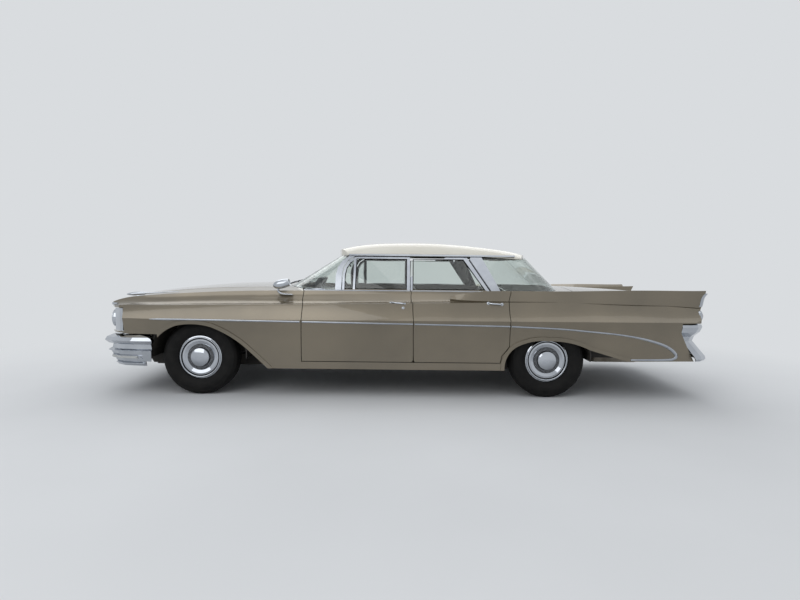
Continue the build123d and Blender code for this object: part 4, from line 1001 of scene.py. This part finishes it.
# the levers in (side, up, along) from the wheel's centre; the pads in (y, z, half width, half height)
steering = {"centre": Vector((-0.52, -0.38, 0.862)), "tilt": math.radians(60),
            "gearLever": ((0.018, 0.0, -0.11), (0.08, 0.02, -0.08), (0.2, 0.055, -0.06)),
            "turnLever": ((-0.018, 0.0, -0.11), (-0.07, 0.01, -0.095), (-0.14, 0.022, -0.088)),
            "pads": ((-0.42, 0.47, 0.045, 0.03), (-0.262, 0.4, 0.024, 0.07)), "padX": -1.05}
wheelCentre = steering["centre"]
wheelAxis = Vector((math.sin(steering["tilt"]), 0.0, math.cos(steering["tilt"])))
wheelUp = Vector((-wheelAxis.z, 0.0, wheelAxis.x))


def hornRing():
    # the lower half ring, joined to the cap by two short arms
    arc = [wheelCentre + wheelAxis * 0.022 + (rightward * math.cos(a) + wheelUp * math.sin(a)) * 0.112
           for a in spread(math.radians(-175), math.radians(-5), 41)]
    cap = lathe(((0.008, 0.0), (0.008, 0.04), (0.018, 0.038), (0.026, 0.03), (0.032, 0.016), (0.033, 0.0)),
                wheelCentre, wheelAxis, 36)
    hub = wheelCentre + wheelAxis * 0.018
    arms = [tubeAlong([end.lerp(hub, t) for t in (0.0, 0.3, 0.6, 0.72)], 0.004, wheelAxis)
            for end in (arc[1], arc[39])]
    return joinShapes(tubeAlong(arc, 0.0042, wheelAxis), cap, *arms)


def columnLevers():
    rods, knobs = [], []
    for reach in (steering["gearLever"], steering["turnLever"]):
        points = [wheelCentre + rightward * a + wheelUp * b + wheelAxis * c for a, b, c in reach]
        rods.append(tubeAlong(smoothLine(points, 0.012), 0.0042, wheelAxis))
        knobs.append(lathe(((-0.006, 0.0), (-0.006, 0.006), (0.004, 0.012), (0.016, 0.013), (0.026, 0.007),
                            (0.028, 0.0)), points[-1], points[-1] - points[-2], 20))
    addPiece("column_levers", joinShapes(*rods))
    addPiece("lever_knobs", joinShapes(*knobs), "wheelPlastic")


def pedals():
    out, up = Vector((0.88, 0, 0.47)).normalized(), Vector((-0.47, 0, 0.88)).normalized()
    shapes = []
    for y, z, half, tall in steering["pads"]:
        middle = Vector((steering["padX"], y, z))
        verts = [middle + rightward * a * grow + up * b * grow + out * depth
                 for depth, grow in ((-0.006, 0.96), (-0.004, 1.0), (0.004, 1.0), (0.007, 0.93))
                 for a, b in roundSection(half, tall, 24, 0.4)]
        stem = smoothLine((middle - out * 0.004, (-1.09, y, z + 0.03), (-1.146, y, z + 0.11)), 0.012)
        shapes += [(verts, ringFaces(4, 24)), tubeAlong(stem, 0.007, rightward)]
    return joinShapes(*shapes)


addPiece("horn_ring", hornRing())
columnLevers()
addPiece("column_shroud", lathe(((0.0, 0.0212), (0.0, 0.03), (-0.03, 0.036), (-0.12, 0.038), (-0.15, 0.03),
                                 (-0.156, 0.0212)), wheelCentre - wheelAxis * 0.03, wheelAxis, 32, True),
         "dashVinyl")
addPiece("pedals", pedals(), "wheelPlastic")

dials = {"places": ((-0.48, 0.034, 150), (-0.38, 0.038, 130), (-0.28, 0.034, 110)),
         "x": -0.8085, "z": 0.963, "out": Vector((0.928, 0, -0.371)), "up": Vector((0.371, 0, 0.928))}
rims, faces, hands = [], [], []
for y, r, degrees in dials["places"]:
    centre, out, turn = Vector((dials["x"], y, dials["z"])), dials["out"], math.radians(degrees)
    rims.append(lathe(((0.0, r - 0.001), (0.0, r + 0.004), (0.006, r + 0.004), (0.009, r + 0.001),
                       (0.006, r - 0.001)), centre, out, 40, True))
    faces.append(lathe(((-0.001, 0.0), (-0.001, r), (0.002, r), (0.002, 0.0)), centre, out, 40))
    along = rightward * math.cos(turn) + dials["up"] * math.sin(turn)
    line = [centre + out * 0.0028 + along * r * share for share in (-0.15, 0.4, 0.85)]
    hands.append(tubeAlong(line, 0.0009, out, 6))
addPiece("dial_rims", joinShapes(*rims))
addPiece("dial_faces", joinShapes(*faces), "dialWhite")
addPiece("dial_hands", joinShapes(*hands), "wheelPlastic")

# one bright strip along the fascia, six knobs and the glove box button
fascia = {"knobs": (-0.18, -0.13, 0.13, 0.18, -0.56, -0.24), "button": 0.52, "x": -0.668, "z": 0.816,
          "out": (0.82, 0, -0.57), "knob": ((-0.016, 0.0), (-0.016, 0.008), (0.006, 0.008), (0.012, 0.013),
                                            (0.022, 0.012), (0.024, 0.0))}
strip = sweepAlong([Vector((-0.6445, y, 0.85)) for y in spread(-0.74, 0.74, 25)], Vector((1, 0, 0.1)),
                   domedStrip(0.012, 0.007, 0.006))
knobs = [lathe(fascia["knob"], (fascia["x"], y, fascia["z"]), fascia["out"], 20) for y in fascia["knobs"]]
button = lathe(((-0.016, 0.0), (-0.016, 0.01), (0.004, 0.01), (0.006, 0.0)),
               (fascia["x"], fascia["button"], fascia["z"]), fascia["out"], 20)
addPiece("dash_bright_work", joinShapes(strip, button, *knobs))
print("dashboard fitted")


# Inside mirror, sun visors and the parcel shelf under the rear window

insideGlass = {"middle": Vector((-0.56, 0, 1.176)), "half": (0.1, 0.026),
               "rings": ((-0.014, 0.7), (-0.01, 0.95), (0.0, 1), (0.006, 1), (0.006, 0.93), (0.004, 0.91)),
               "stem": ((-0.57, 0, 1.19), (-0.585, 0, 1.22), (-0.57, 0, 1.262))}
visor = {"x": -0.42, "y": 0.3, "z": 1.252, "half": (0.075, 0.19), "slope": 0.1,
         "rings": ((0.0, 0.94), (0.002, 0.99), (0.007, 1.0), (0.012, 0.99), (0.014, 0.94))}


def insideMirror():
    # each ring of the shell: its depth and its share of the full size
    section = roundSection(*insideGlass["half"], 32, 0.6)
    verts = [insideGlass["middle"] + Vector((depth, a * share, b * share))
             for depth, share in insideGlass["rings"] for a, b in section]
    stem = tubeAlong(smoothLine(insideGlass["stem"], 0.01), 0.006, rightward)
    return joinShapes((verts, ringFaces(len(insideGlass["rings"]), 32)), stem)


def sunVisor(y):
    # a flat soft flap folded up under the headlining
    half = visor["half"]
    verts = [Vector((visor["x"] + a * share, y + b * share,
                     visor["z"] + lift + (a * share + half[0]) * visor["slope"]))
             for lift, share in visor["rings"] for a, b in roundSection(*half, 40, 0.35)]
    return verts, ringFaces(len(visor["rings"]), 40)


addPiece("inside_mirror", insideMirror())
for sideName, side in bothSides:
    flap = addPiece("sun_visor_" + sideName, sunVisor(side * visor["y"]), "headlining")

shelf = {"front": 0.834, "rear": 1.44, "bend": 0.93, "half": 0.745, "gap": 0.035, "rows": 21, "columns": 25,
         "thick": 0.003}


def shelfHalf(x):
    # the shelf's half width at x, a little inside the glass
    edge = [(x0, y0) for x0, y0 in planCurve(glassCurves["rear_window"][0]) if y0 >= 0]
    reach, best = x + shelf["gap"], 0.0
    for (x0, y0), (x1, y1) in zip(edge, edge[1:]):
        if min(x0, x1) <= reach <= max(x0, x1) and x0 != x1:
            best = max(best, y0 + (y1 - y0) * (reach - x0) / (x1 - x0))
    return min(max(0.0, best - shelf["gap"]), shelf["half"])


def parcelShelf():
    # a covered board that follows the deck inside the glass and runs down to the seat back
    rows, columns, verts = shelf["rows"], shelf["columns"], []
    for x in spread(shelf["front"], shelf["rear"], rows):
        half = shelfHalf(x)
        for y in spread(-half, half, columns):
            hit = onTop("upper", max(x, shelf["bend"]), y, 1.15)
            z = (hit.z if hit and hit.z > 0.88 else 0.945) + 0.004
            verts.append(Vector((x, y, z - max(0.0, shelf["bend"] - x) * 0.55)))
    top = len(verts)
    verts += [v - upward * shelf["thick"] for v in verts]
    faces = gridFaces(rows, columns)
    faces += [(top + a, top + d, top + c, top + b) for a, b, c, d in faces]
    rim = gridRim(rows, columns)
    return verts, faces + [(a, b, top + b, top + a) for a, b in zip(rim, rim[1:] + rim[:1])]


addPiece("parcel_shelf", parcelShelf(), "carpet")
print("cabin fitted")


# Bright work of the outside: brow tips, fin sleeves, sill strips, bumper lamps, locks

brow = {"inner": 0.7, "outer": 0.846, "z": 0.803, "width": 0.02, "height": 0.01}
finSleeve = {"line": ((2.672, 0.962), (2.65, 0.94), (2.634, 0.912), (2.63, 0.88), (2.629, 0.85),
                      (2.626, 0.828)), "wrap": 0.02, "tail": 0.012, "width": 0.014}
sill = {"y": 0.834, "width": 0.014, "height": 0.006, "front_door": (-0.932, 0.06),
        "rear_door": (0.034, 0.842)}
lampFrame = {"middle": (-2.3, 0.6), "top": 0.397, "bottom": 0.279, "width": 0.011, "height": 0.007,
             "lensZ": 0.337, "lensWidth": 0.024, "lensHeight": 0.009}


def browTip():
    # a bright lip along the front edge of the fender, swelling to a point outboard
    points, outs, sizes = [], [], []
    for t, y in zip(spread(0.0, 1.0, 40), spread(brow["inner"], brow["outer"], 40)):
        hit = skins["front_fenders"].ray_cast(Vector((-3.0, y, brow["z"])), rearward)[0]
        if hit and hit.x < -2.52:
            points.append(hit)
            outs.append(Vector((-1, 0.25 * t, 0)).normalized())
            sizes.append(0.6 + 0.7 * math.sin(math.pi * min(1.0, t * 1.02) * 0.8))
    return sweepAlong(points, outs, domedStrip(brow["width"], brow["height"], 0.008), sizes)


def sleeveOnFin():
    # folded over the tail edge: a plate along the outer skin, a rounded back, a lip inside
    verts = []
    wrap, tail, wide = finSleeve["wrap"], finSleeve["tail"], finSleeve["width"]
    for p in smoothLine([(x, 0, z) for x, z in finSleeve["line"]], 0.006):
        near, ahead = [besideSkin("rear_quarters", p.x - back, p.z) for back in (0.012, wrap)]
        if near and ahead and min(near[0].y, ahead[0].y) >= 0.85:
            y, yAhead = near[0].y, ahead[0].y
            ring = ((-wrap, yAhead + 0.0025), (0.002, y + 0.003), (0.01, y - 0.003), (tail, y - wide * 0.4),
                    (0.01, y - wide), (-0.004, y - wide), (-0.004, y - 0.004), (-wrap, yAhead - 0.003))
            verts += [Vector((p.x + dx, across, p.z)) for dx, across in ring]
    return verts, ringFaces(len(verts) // 8, 8)


def sillStrip(door):
    # laid along the top of the door, found from above
    hits = [onTop(door + "_right", x, sill["y"], 1.2) for x in spread(*sill[door], 40)]
    return sweepAlong([hit for hit in hits if hit and hit.z > 0.9], Vector((0, 0.2, 1)).normalized(),
                      domedStrip(sill["width"], sill["height"]))


def roundBumper(z, first, last, section):
    # a strip on the bumper's skin between two bearings in degrees, 90 to the side and 180 to the front
    points, outs = [], []
    for bearing in spread(math.radians(first), math.radians(last), 41):
        ray = Vector((math.cos(bearing), math.sin(bearing), 0))
        hit = skins["front_bumper"].ray_cast(Vector((*lampFrame["middle"], z)) + ray * 1.2, -ray)[0]
        if hit and hit.y > 0.585 and hit.x < -2.296:
            points.append(hit)
            outs.append(ray)
    return sweepAlong(points, outs, section)


frameStrip = domedStrip(lampFrame["width"], lampFrame["height"])
frameShape = joinShapes(*[roundBumper(lampFrame[edge], 88, 178, frameStrip) for edge in ("top", "bottom")])
lensStrip = domedStrip(lampFrame["lensWidth"], lampFrame["lensHeight"], 0.003)
lockShape = lathe(((-0.003, 0.0), (-0.003, 0.0125), (0.002, 0.0125), (0.004, 0.0105), (0.0045, 0.0078),
                   (0.002, 0.007), (0.002, 0.0)), *besideSkin("front_door_right", -0.02, 0.8), 28)
addPair("brow_tip", browTip())
addPair("fin_sleeve", sleeveOnFin())
addPair("bumper_lamp_frame", frameShape)
addPair("bumper_lens", roundBumper(lampFrame["lensZ"], 99, 170, lensStrip), "clearLens")
addPair("door_lock", lockShape, door="front_door")
for door in ("front_door", "rear_door"):
    addPair("sill_strip_" + door, sillStrip(door), "stainless", door=door)
lidHit = skins["boot_lid"].ray_cast(Vector((3.0, 0.0, 0.86)), -rearward)[0]
addPiece("boot_lock", lathe(((-0.004, 0.0), (-0.004, 0.02), (0.004, 0.02), (0.007, 0.016), (0.008, 0.011),
                             (0.005, 0.01), (0.005, 0.0)), lidHit, (1, 0, 0.1), 32), body="boot_lid")
print("side bright work laid")


# Rubber round the vent panes and door glass, wipers, and black blocks on the cowl as painted shade in its
# slots

paneRubber = {"half": 0.0042, "proud": 0.0075}
paneCorners = {
    "front_door": (((-0.547, 0.957), (-0.547, 1.078), (-0.534, 1.14), (-0.505, 1.187), (-0.477, 1.208),
                    (-0.479, 0.957)),
                   ((-0.452, 0.957), (-0.446, 1.227), (0.01, 1.227), (0.009, 0.957))),
    "rear_door": (((0.068, 0.957), (0.07, 1.227), (0.527, 1.227), (0.714, 0.957)),),
}
wiper = {"pivots": (-0.5, 0.16), "reach": 0.4, "bladeZ": 0.999, "pivotX": -1.115}
# black blocks painted as the shade inside the cowl's slots: their number, the half width of the row, place
# along X and size
cowlSlotShade = {"count": 44, "half": 0.46, "x": -1.14, "size": (0.05, 0.004, 0.003)}


def rubberRing(corners):
    # a closed bead that follows the pane's edge on its outer face
    line = []
    for (x, z), (nextX, nextZ) in zip(corners, corners[1:] + corners[:1]):
        parts = max(2, round(math.hypot(nextX - x, nextZ - z) / 0.03))
        line += [(x + (nextX - x) * j / parts, z + (nextZ - z) * j / parts) for j in range(parts)]
    middleX, middleZ = [sum(values) / len(line) for values in zip(*line)]
    half, proud = paneRubber["half"], paneRubber["proud"]
    verts = []
    for x, z in line:
        inward = Vector((middleX - x, 0, middleZ - z)).normalized() * half
        for shift, out in ((-1, 0.0), (-1, proud), (1, proud), (1, 0.0)):
            edgeZ = z + inward.z * shift
            paneY = 0.812 - (edgeZ - 0.938) * 0.128 / 0.318
            verts.append(Vector((x + inward.x * shift, paneY + out, edgeZ)))
    return verts, ringFaces(len(line), 4, True)


def wiperShapes(pivotY):
    # a blade resting along the foot of the glass and an arm from its pivot on the cowl
    points, outs = [], []
    for t in spread(0.0, 1.0, 21):
        start = Vector((-2.0, pivotY + 0.02 + wiper["reach"] * t, wiper["bladeZ"] + 0.012 * t))
        hit, normal = skins["windscreen"].ray_cast(start, rearward)[:2]
        if hit:
            outs.append(normal if normal.x < 0 else -normal)
            points.append(hit + outs[-1] * 0.007)
    foot = onTop("cowl_panel", wiper["pivotX"], pivotY)
    blade = sweepAlong(points, outs, ((-0.006, -0.0015), (0.0, -0.004), (0.004, -0.003), (0.004, 0.003),
                                      (0.0, 0.004), (-0.006, 0.0015)))
    middle = points[len(points) // 2] + outs[len(outs) // 2] * 0.006
    knuckle = lathe(((-0.004, 0.0), (-0.004, 0.013), (0.01, 0.012), (0.018, 0.007), (0.018, 0.0)),
                    foot, upward, 24)
    bend = foot.lerp(middle, 0.4) + Vector((-0.004, 0, 0.01))
    armLine = smoothLine((foot + upward * 0.014, bend, middle), 0.02)
    return blade, joinShapes(knuckle, tubeAlong(armLine, 0.0035, Vector((-1, 0, 0.3))))


for door, panes in paneCorners.items():
    addPair("pane_rubber_" + door, joinShapes(*[rubberRing(corners) for corners in panes]), "rubber",
            door)
blades, arms = zip(*[wiperShapes(pivotY) for pivotY in wiper["pivots"]])
addPiece("wiper_blades", joinShapes(*blades), "rubber")
addPiece("wiper_arms", joinShapes(*arms), "stainless")
# the slots' shade is painted: a black block stands on the cowl's skin at each slot
slotPoints = [onTop("cowl_panel", cowlSlotShade["x"], y)
              for y in spread(-cowlSlotShade["half"], cowlSlotShade["half"], cowlSlotShade["count"])]
addBlocks("cowl_slot_shade", rowTree, cowlSlotShade["size"], "hubBlack", "dark_plastic", [p for p in slotPoints if p])
print("rubber, wipers and cowl slots laid")


# Under the hood: air cleaner, valve covers, radiator with fan and pipes, battery

bay = {
    "cleanerX": -1.86, "coverSpan": (-2.1, -1.5), "coverY": 0.232, "radiatorX": -2.3,
    "fan": (-2.206, 0, 0.62), "battery": Vector((-2.18, 0.42, 0.5)),
    # half depth, span across, span up and bevel of each side of the radiator
    "tanks": ((0.034, -0.33, 0.33, 0.74, 0.8, 0.012), (0.034, -0.33, 0.33, 0.4, 0.45, 0.012),
              (0.026, -0.34, -0.326, 0.395, 0.8, 0.004), (0.026, 0.326, 0.34, 0.395, 0.8, 0.004)),
    "pipes": (((-2.285, 0.16, 0.775), (-2.235, 0.15, 0.795), (-2.19, 0.09, 0.8), (-2.172, 0.06, 0.76)),
              ((-2.285, -0.2, 0.43), (-2.235, -0.19, 0.43), (-2.2, -0.15, 0.47), (-2.172, -0.1, 0.52))),
}


def bevelledBlock(low, high, bevel):
    shape = bmesh.new()
    bmesh.ops.create_cube(shape, size=1.0)
    for vert in shape.verts:
        vert.co = Vector([(a + b) / 2 + c * (b - a) for a, b, c in zip(low, high, vert.co)])
    bmesh.ops.bevel(shape, geom=shape.edges[:] + shape.verts[:], offset=bevel, segments=2, affect="EDGES")
    shape.verts.index_update()
    made = ([v.co.copy() for v in shape.verts], [tuple(v.index for v in f.verts) for f in shape.faces])
    shape.free()
    return made


def airCleaner():
    foot = onTop("engine_block", bay["cleanerX"], 0) - upward * 0.004
    return lathe(((0.0, 0.0), (0.0, 0.06), (0.012, 0.062), (0.014, 0.15), (0.02, 0.16), (0.052, 0.16),
                  (0.058, 0.166), (0.064, 0.164), (0.07, 0.15), (0.074, 0.05), (0.08, 0.02), (0.082, 0.0)),
                 foot, upward, 56)


def valveCover():
    found = [skins["engine_block"].ray_cast(Vector((x, bay["coverY"], 1.3)), -upward)
             for x in spread(*bay["coverSpan"], 25)]
    normal = found[-1][1]
    half = ((-0.006, 0.066), (0.006, 0.066), (0.008, 0.058), (0.04, 0.05), (0.05, 0.036))
    section = [(out, -across) for out, across in half] + [(0.052, 0.0)] + list(reversed(half))
    return sweepAlong([hit[0] for hit in found], normal if normal.z > 0 else -normal, section)


def radiatorTanks():
    x = bay["radiatorX"]
    filler = lathe(((0.0, 0.0), (0.0, 0.026), (0.006, 0.03), (0.014, 0.03), (0.018, 0.024), (0.018, 0.0)),
                   (x, 0.14, 0.798), upward, 28)
    return joinShapes(filler, *[bevelledBlock((x - half, y0, z0), (x + half, y1, z1), bevel)
                                for half, y0, y1, z0, z1, bevel in bay["tanks"]])


def fanBlades():
    # four pitched blades on a hub
    hub = Vector(bay["fan"])
    shapes = [lathe(((0.0, 0.0), (0.0, 0.045), (0.012, 0.05), (0.024, 0.045), (0.024, 0.0)),
                    hub, rearward, 32)]
    for turn in [k * math.pi / 2 + 0.4 for k in range(4)]:
        out = Vector((0, math.cos(turn), math.sin(turn)))
        across = Vector((0, -math.sin(turn), math.cos(turn)))
        verts = []
        for i in range(6):
            middle = hub + rearward * 0.012 + out * (0.04 + 0.03 * i)
            reach, thick = across * (0.03 + 0.006 * i) + rearward * 0.01, rearward * 0.001
            verts += [middle - reach + thick, middle - reach - thick, middle + reach + thick,
                      middle + reach - thick]
        # both faces of the twisted blade are split along the same diagonal, so that it stays evenly thick
        faces = [(0, 1, 3, 2), (20, 22, 23, 21)]
        for a in range(0, 20, 4):
            faces += [(a, a + 2, a + 6, a + 4), (a + 1, a + 5, a + 7, a + 3), (a, a + 4, a + 5, a + 1),
                      (a + 2, a + 3, a + 7, a + 6)]
        shapes.append((verts, faces))
    return joinShapes(*shapes)


def coolantPipes():
    # short moulded rubber pipes, held at both ends
    return joinShapes(*[tubeAlong(smoothLine(points, 0.012), 0.022, rightward, 16)
                        for points in bay["pipes"]])


def batteryBlock(low, high, bevel):
    # corners are told from the middle of the tray's top
    return bevelledBlock(bay["battery"] + Vector(low), bay["battery"] + Vector(high), bevel)


addPiece("air_cleaner", airCleaner(), "hubBlack")
covers = valveCover()
addPiece("valve_covers", joinShapes(covers, mirrored(covers, -1)), "engine")
addPiece("radiator_tanks", radiatorTanks(), "hubBlack")
addBlocks("radiator_fins", rowTree, (0.036, 0.652, 0.002), "steel", "tank_steel",
          [(bay["radiatorX"], 0, z) for z in spread(0.452, 0.732, 36)])
addBlocks("radiator_tubes", rowTree, (0.014, 0.003, 0.3), "steel", "tank_steel",
          [(bay["radiatorX"], y, 0.595) for y in spread(-0.31, 0.31, 31)])
addPiece("cooling_fan", fanBlades(), "steel")
addPiece("coolant_pipes", coolantPipes(), "rubber")
posts = [lathe(((0.0, 0.0), (0.0, 0.009), (0.016, 0.008), (0.016, 0.0)),
               bay["battery"] + Vector((side * 0.08, -0.05, 0.188)), upward, 20) for side in (-1, 1)]
addPiece("battery_tray", joinShapes(batteryBlock((-0.12, -0.09, -0.008), (0.12, 0.09, 0.0), 0.003),
                                    batteryBlock((-0.02, -0.03, -0.104), (0.02, 0.03, -0.006), 0.004)),
         "hubBlack")
addPiece("battery_case", joinShapes(batteryBlock((-0.11, -0.08, 0.0), (0.11, 0.08, 0.19), 0.008), *posts),
         "wheelPlastic")
print("engine bay filled")


# Springs round the dampers, and the mat in the boot

coils = {"front": {"x": -1.83, "y": 0.5, "low": 0.194, "high": 0.462, "radius": 0.056, "wire": 0.0075,
                   "turns": 7},
         "rear": {"x": 1.269, "y": 0.59, "low": 0.384, "high": 0.5, "radius": 0.052, "wire": 0.007,
                  "turns": 4}}
bootMat = {"low": (1.76, -0.52, 0.4125), "high": (2.34, 0.52, 0.4185), "bevel": 0.0028,
           "rib": (0.52, 0.006, 0.0024), "ribs": [(2.05, y, 0.419) for y in spread(-0.49, 0.49, 40)]}


def coilSpring(x, y, low, high, radius, wire, turns):
    points, outs = [], []
    for along in spread(0.0, turns, turns * 24 + 1):
        out = Vector((math.cos(2 * math.pi * along), math.sin(2 * math.pi * along), 0))
        # the end turns lie flat
        rise = min(1.0, max(0.0, (along - 0.6) / (turns - 1.2)))
        points.append(Vector((x, y, low + wire + (high - low - 2 * wire) * rise)) + out * radius)
        outs.append(out)
    return sweepAlong(points, outs, roundSection(wire, wire, 8))


for endName, measures in coils.items():
    right = coilSpring(**measures)
    addPiece("coil_springs_" + endName, joinShapes(right, mirrored(right, -1)), "chassis")
mat = bevelledBlock(bootMat["low"], bootMat["high"], bootMat["bevel"])
addPiece("boot_mat", mat, "dashVinyl")
addBlocks("boot_mat_ribs", rowTree, bootMat["rib"], "dashVinyl", "dash_vinyl", bootMat["ribs"])
print("springs and boot mat placed")


# Floor, backdrop, lights and camera

studio = {"floorHalf": 40.0, "skyStrength": 0.5, "sky": (0.93, 0.96, 1.0, 1), "backdrop": "#D9DCDF",
          "fade": (3.0, 5.6)}
lampPlaces = {
    "keyLamp": {"place": (-1.0, 4.5, 7.0), "target": (0, 0, 0.6), "size": (11.0, 7.0), "power": 320.0},
    "fillLamp": {"place": (-4.5, -7.5, 5.0), "target": (0, 0, 0.6), "size": (8.0, 6.0), "power": 180.0},
    "topLamp": {"place": (2.0, -2.0, 8.0), "target": (0, 0, 0.8), "size": (11.0, 8.0), "power": 140.0},
}
# the photographer's place and aim, solved from the photograph; the focal length is in pixels of its width
photoView = {"place": (-0.048, -5.802, 1.156), "focal": 554, "width": 800, "sensorMm": 36.0, "drop": 33,
             "roll": math.radians(0.57)}


def seesPlain(tree):
    # true for the camera and for what metal and glass show
    path = addNode(tree, "ShaderNodeLightPath").outputs
    glossy = addNode(tree, "ShaderNodeMath", {"operation": "MAXIMUM"},
                     {0: path["Is Camera Ray"], 1: path["Is Glossy Ray"]})
    return addNode(tree, "ShaderNodeMath", {"operation": "MAXIMUM"},
                   {0: glossy.outputs["Value"], 1: path["Is Transmission Ray"]}).outputs["Value"]


def paleFloor():
    half = studio["floorHalf"]
    mesh = newMesh("floor", ([(-half, -half, 0), (half, -half, 0), (half, half, 0), (-half, half, 0)],
                             [(0, 1, 2, 3)]))
    mat, tree, surface = startMaterial("paleFloor", {"Roughness": 0.9})
    variedColour(tree, surface, "#D6D8DA", "#DCDEE0", 0.4)
    # the floor runs into the backdrop's own colour a few metres out, so that no horizon shows
    reach = addNode(tree, "ShaderNodeVectorMath", {"operation": "LENGTH"}, {0: objectCoords(tree)})
    far = addNode(tree, "ShaderNodeMapRange",
                  {"interpolation_type": "SMOOTHSTEP", "From Min": studio["fade"][0],
                   "From Max": studio["fade"][1]}, {"Value": reach.outputs["Value"]})
    fade = addNode(tree, "ShaderNodeMath", {"operation": "MULTIPLY"},
                   {0: far.outputs["Result"], 1: seesPlain(tree)})
    plain = addNode(tree, "ShaderNodeEmission", {"Color": hexToLinear(studio["backdrop"]), "Strength": 1.0})
    both = addNode(tree, "ShaderNodeMixShader", None,
                   {0: fade.outputs["Value"], 1: surface.outputs[0], 2: plain.outputs[0]})
    # seen from beneath, the floor is clear, so that the underside can be looked at
    side = addNode(tree, "ShaderNodeNewGeometry")
    clear = addNode(tree, "ShaderNodeBsdfTransparent")
    oneWay = addNode(tree, "ShaderNodeMixShader", None,
                     {0: side.outputs["Backfacing"], 1: both.outputs[0], 2: clear.outputs[0]})
    tree.links.new(oneWay.outputs[0], tree.nodes["Material Output"].inputs["Surface"])
    mesh.materials.append(mat)
    standAs("floor", mesh)


def softSky():
    world = bpy.data.worlds.new("softSky")
    bpy.context.scene.world = world
    world.use_nodes = True
    tree = world.node_tree
    tree.nodes.clear()
    lit = addNode(tree, "ShaderNodeBackground", {"Color": studio["sky"], "Strength": studio["skyStrength"]})
    seen = addNode(tree, "ShaderNodeBackground", {"Color": hexToLinear(studio["backdrop"]), "Strength": 1.0})
    pick = addNode(tree, "ShaderNodeMixShader", None,
                   {0: seesPlain(tree), 1: lit.outputs[0], 2: seen.outputs[0]})
    addNode(tree, "ShaderNodeOutputWorld", None, {"Surface": pick.outputs[0]})


def areaLamp(name, place, target, size, power):
    data = bpy.data.lights.new(name, "AREA")
    data.shape = "RECTANGLE"
    data.size, data.size_y = size
    data.energy = power
    lamp = standAs(name, data)
    lamp.location = place
    lamp.rotation_euler = (Vector(target) - Vector(place)).to_track_quat("-Z", "Y").to_euler()


def photoCamera():
    data = bpy.data.cameras.new("photoCamera")
    data.sensor_width = photoView["sensorMm"]
    data.lens = photoView["focal"] / photoView["width"] * photoView["sensorMm"]
    pitch = math.atan(photoView["drop"] / photoView["focal"])
    turn = Matrix.Rotation(math.pi / 2 - pitch, 4, "X") @ Matrix.Rotation(photoView["roll"], 4, "Z")
    camera = standAs("photoCamera", data)
    camera.matrix_world = Matrix.Translation(photoView["place"]) @ turn
    bpy.context.scene.camera = camera


paleFloor()
softSky()
for name, values in lampPlaces.items():
    areaLamp(name, **values)
photoCamera()
bpy.context.scene.view_settings.view_transform = "Standard"
print("studio ready")
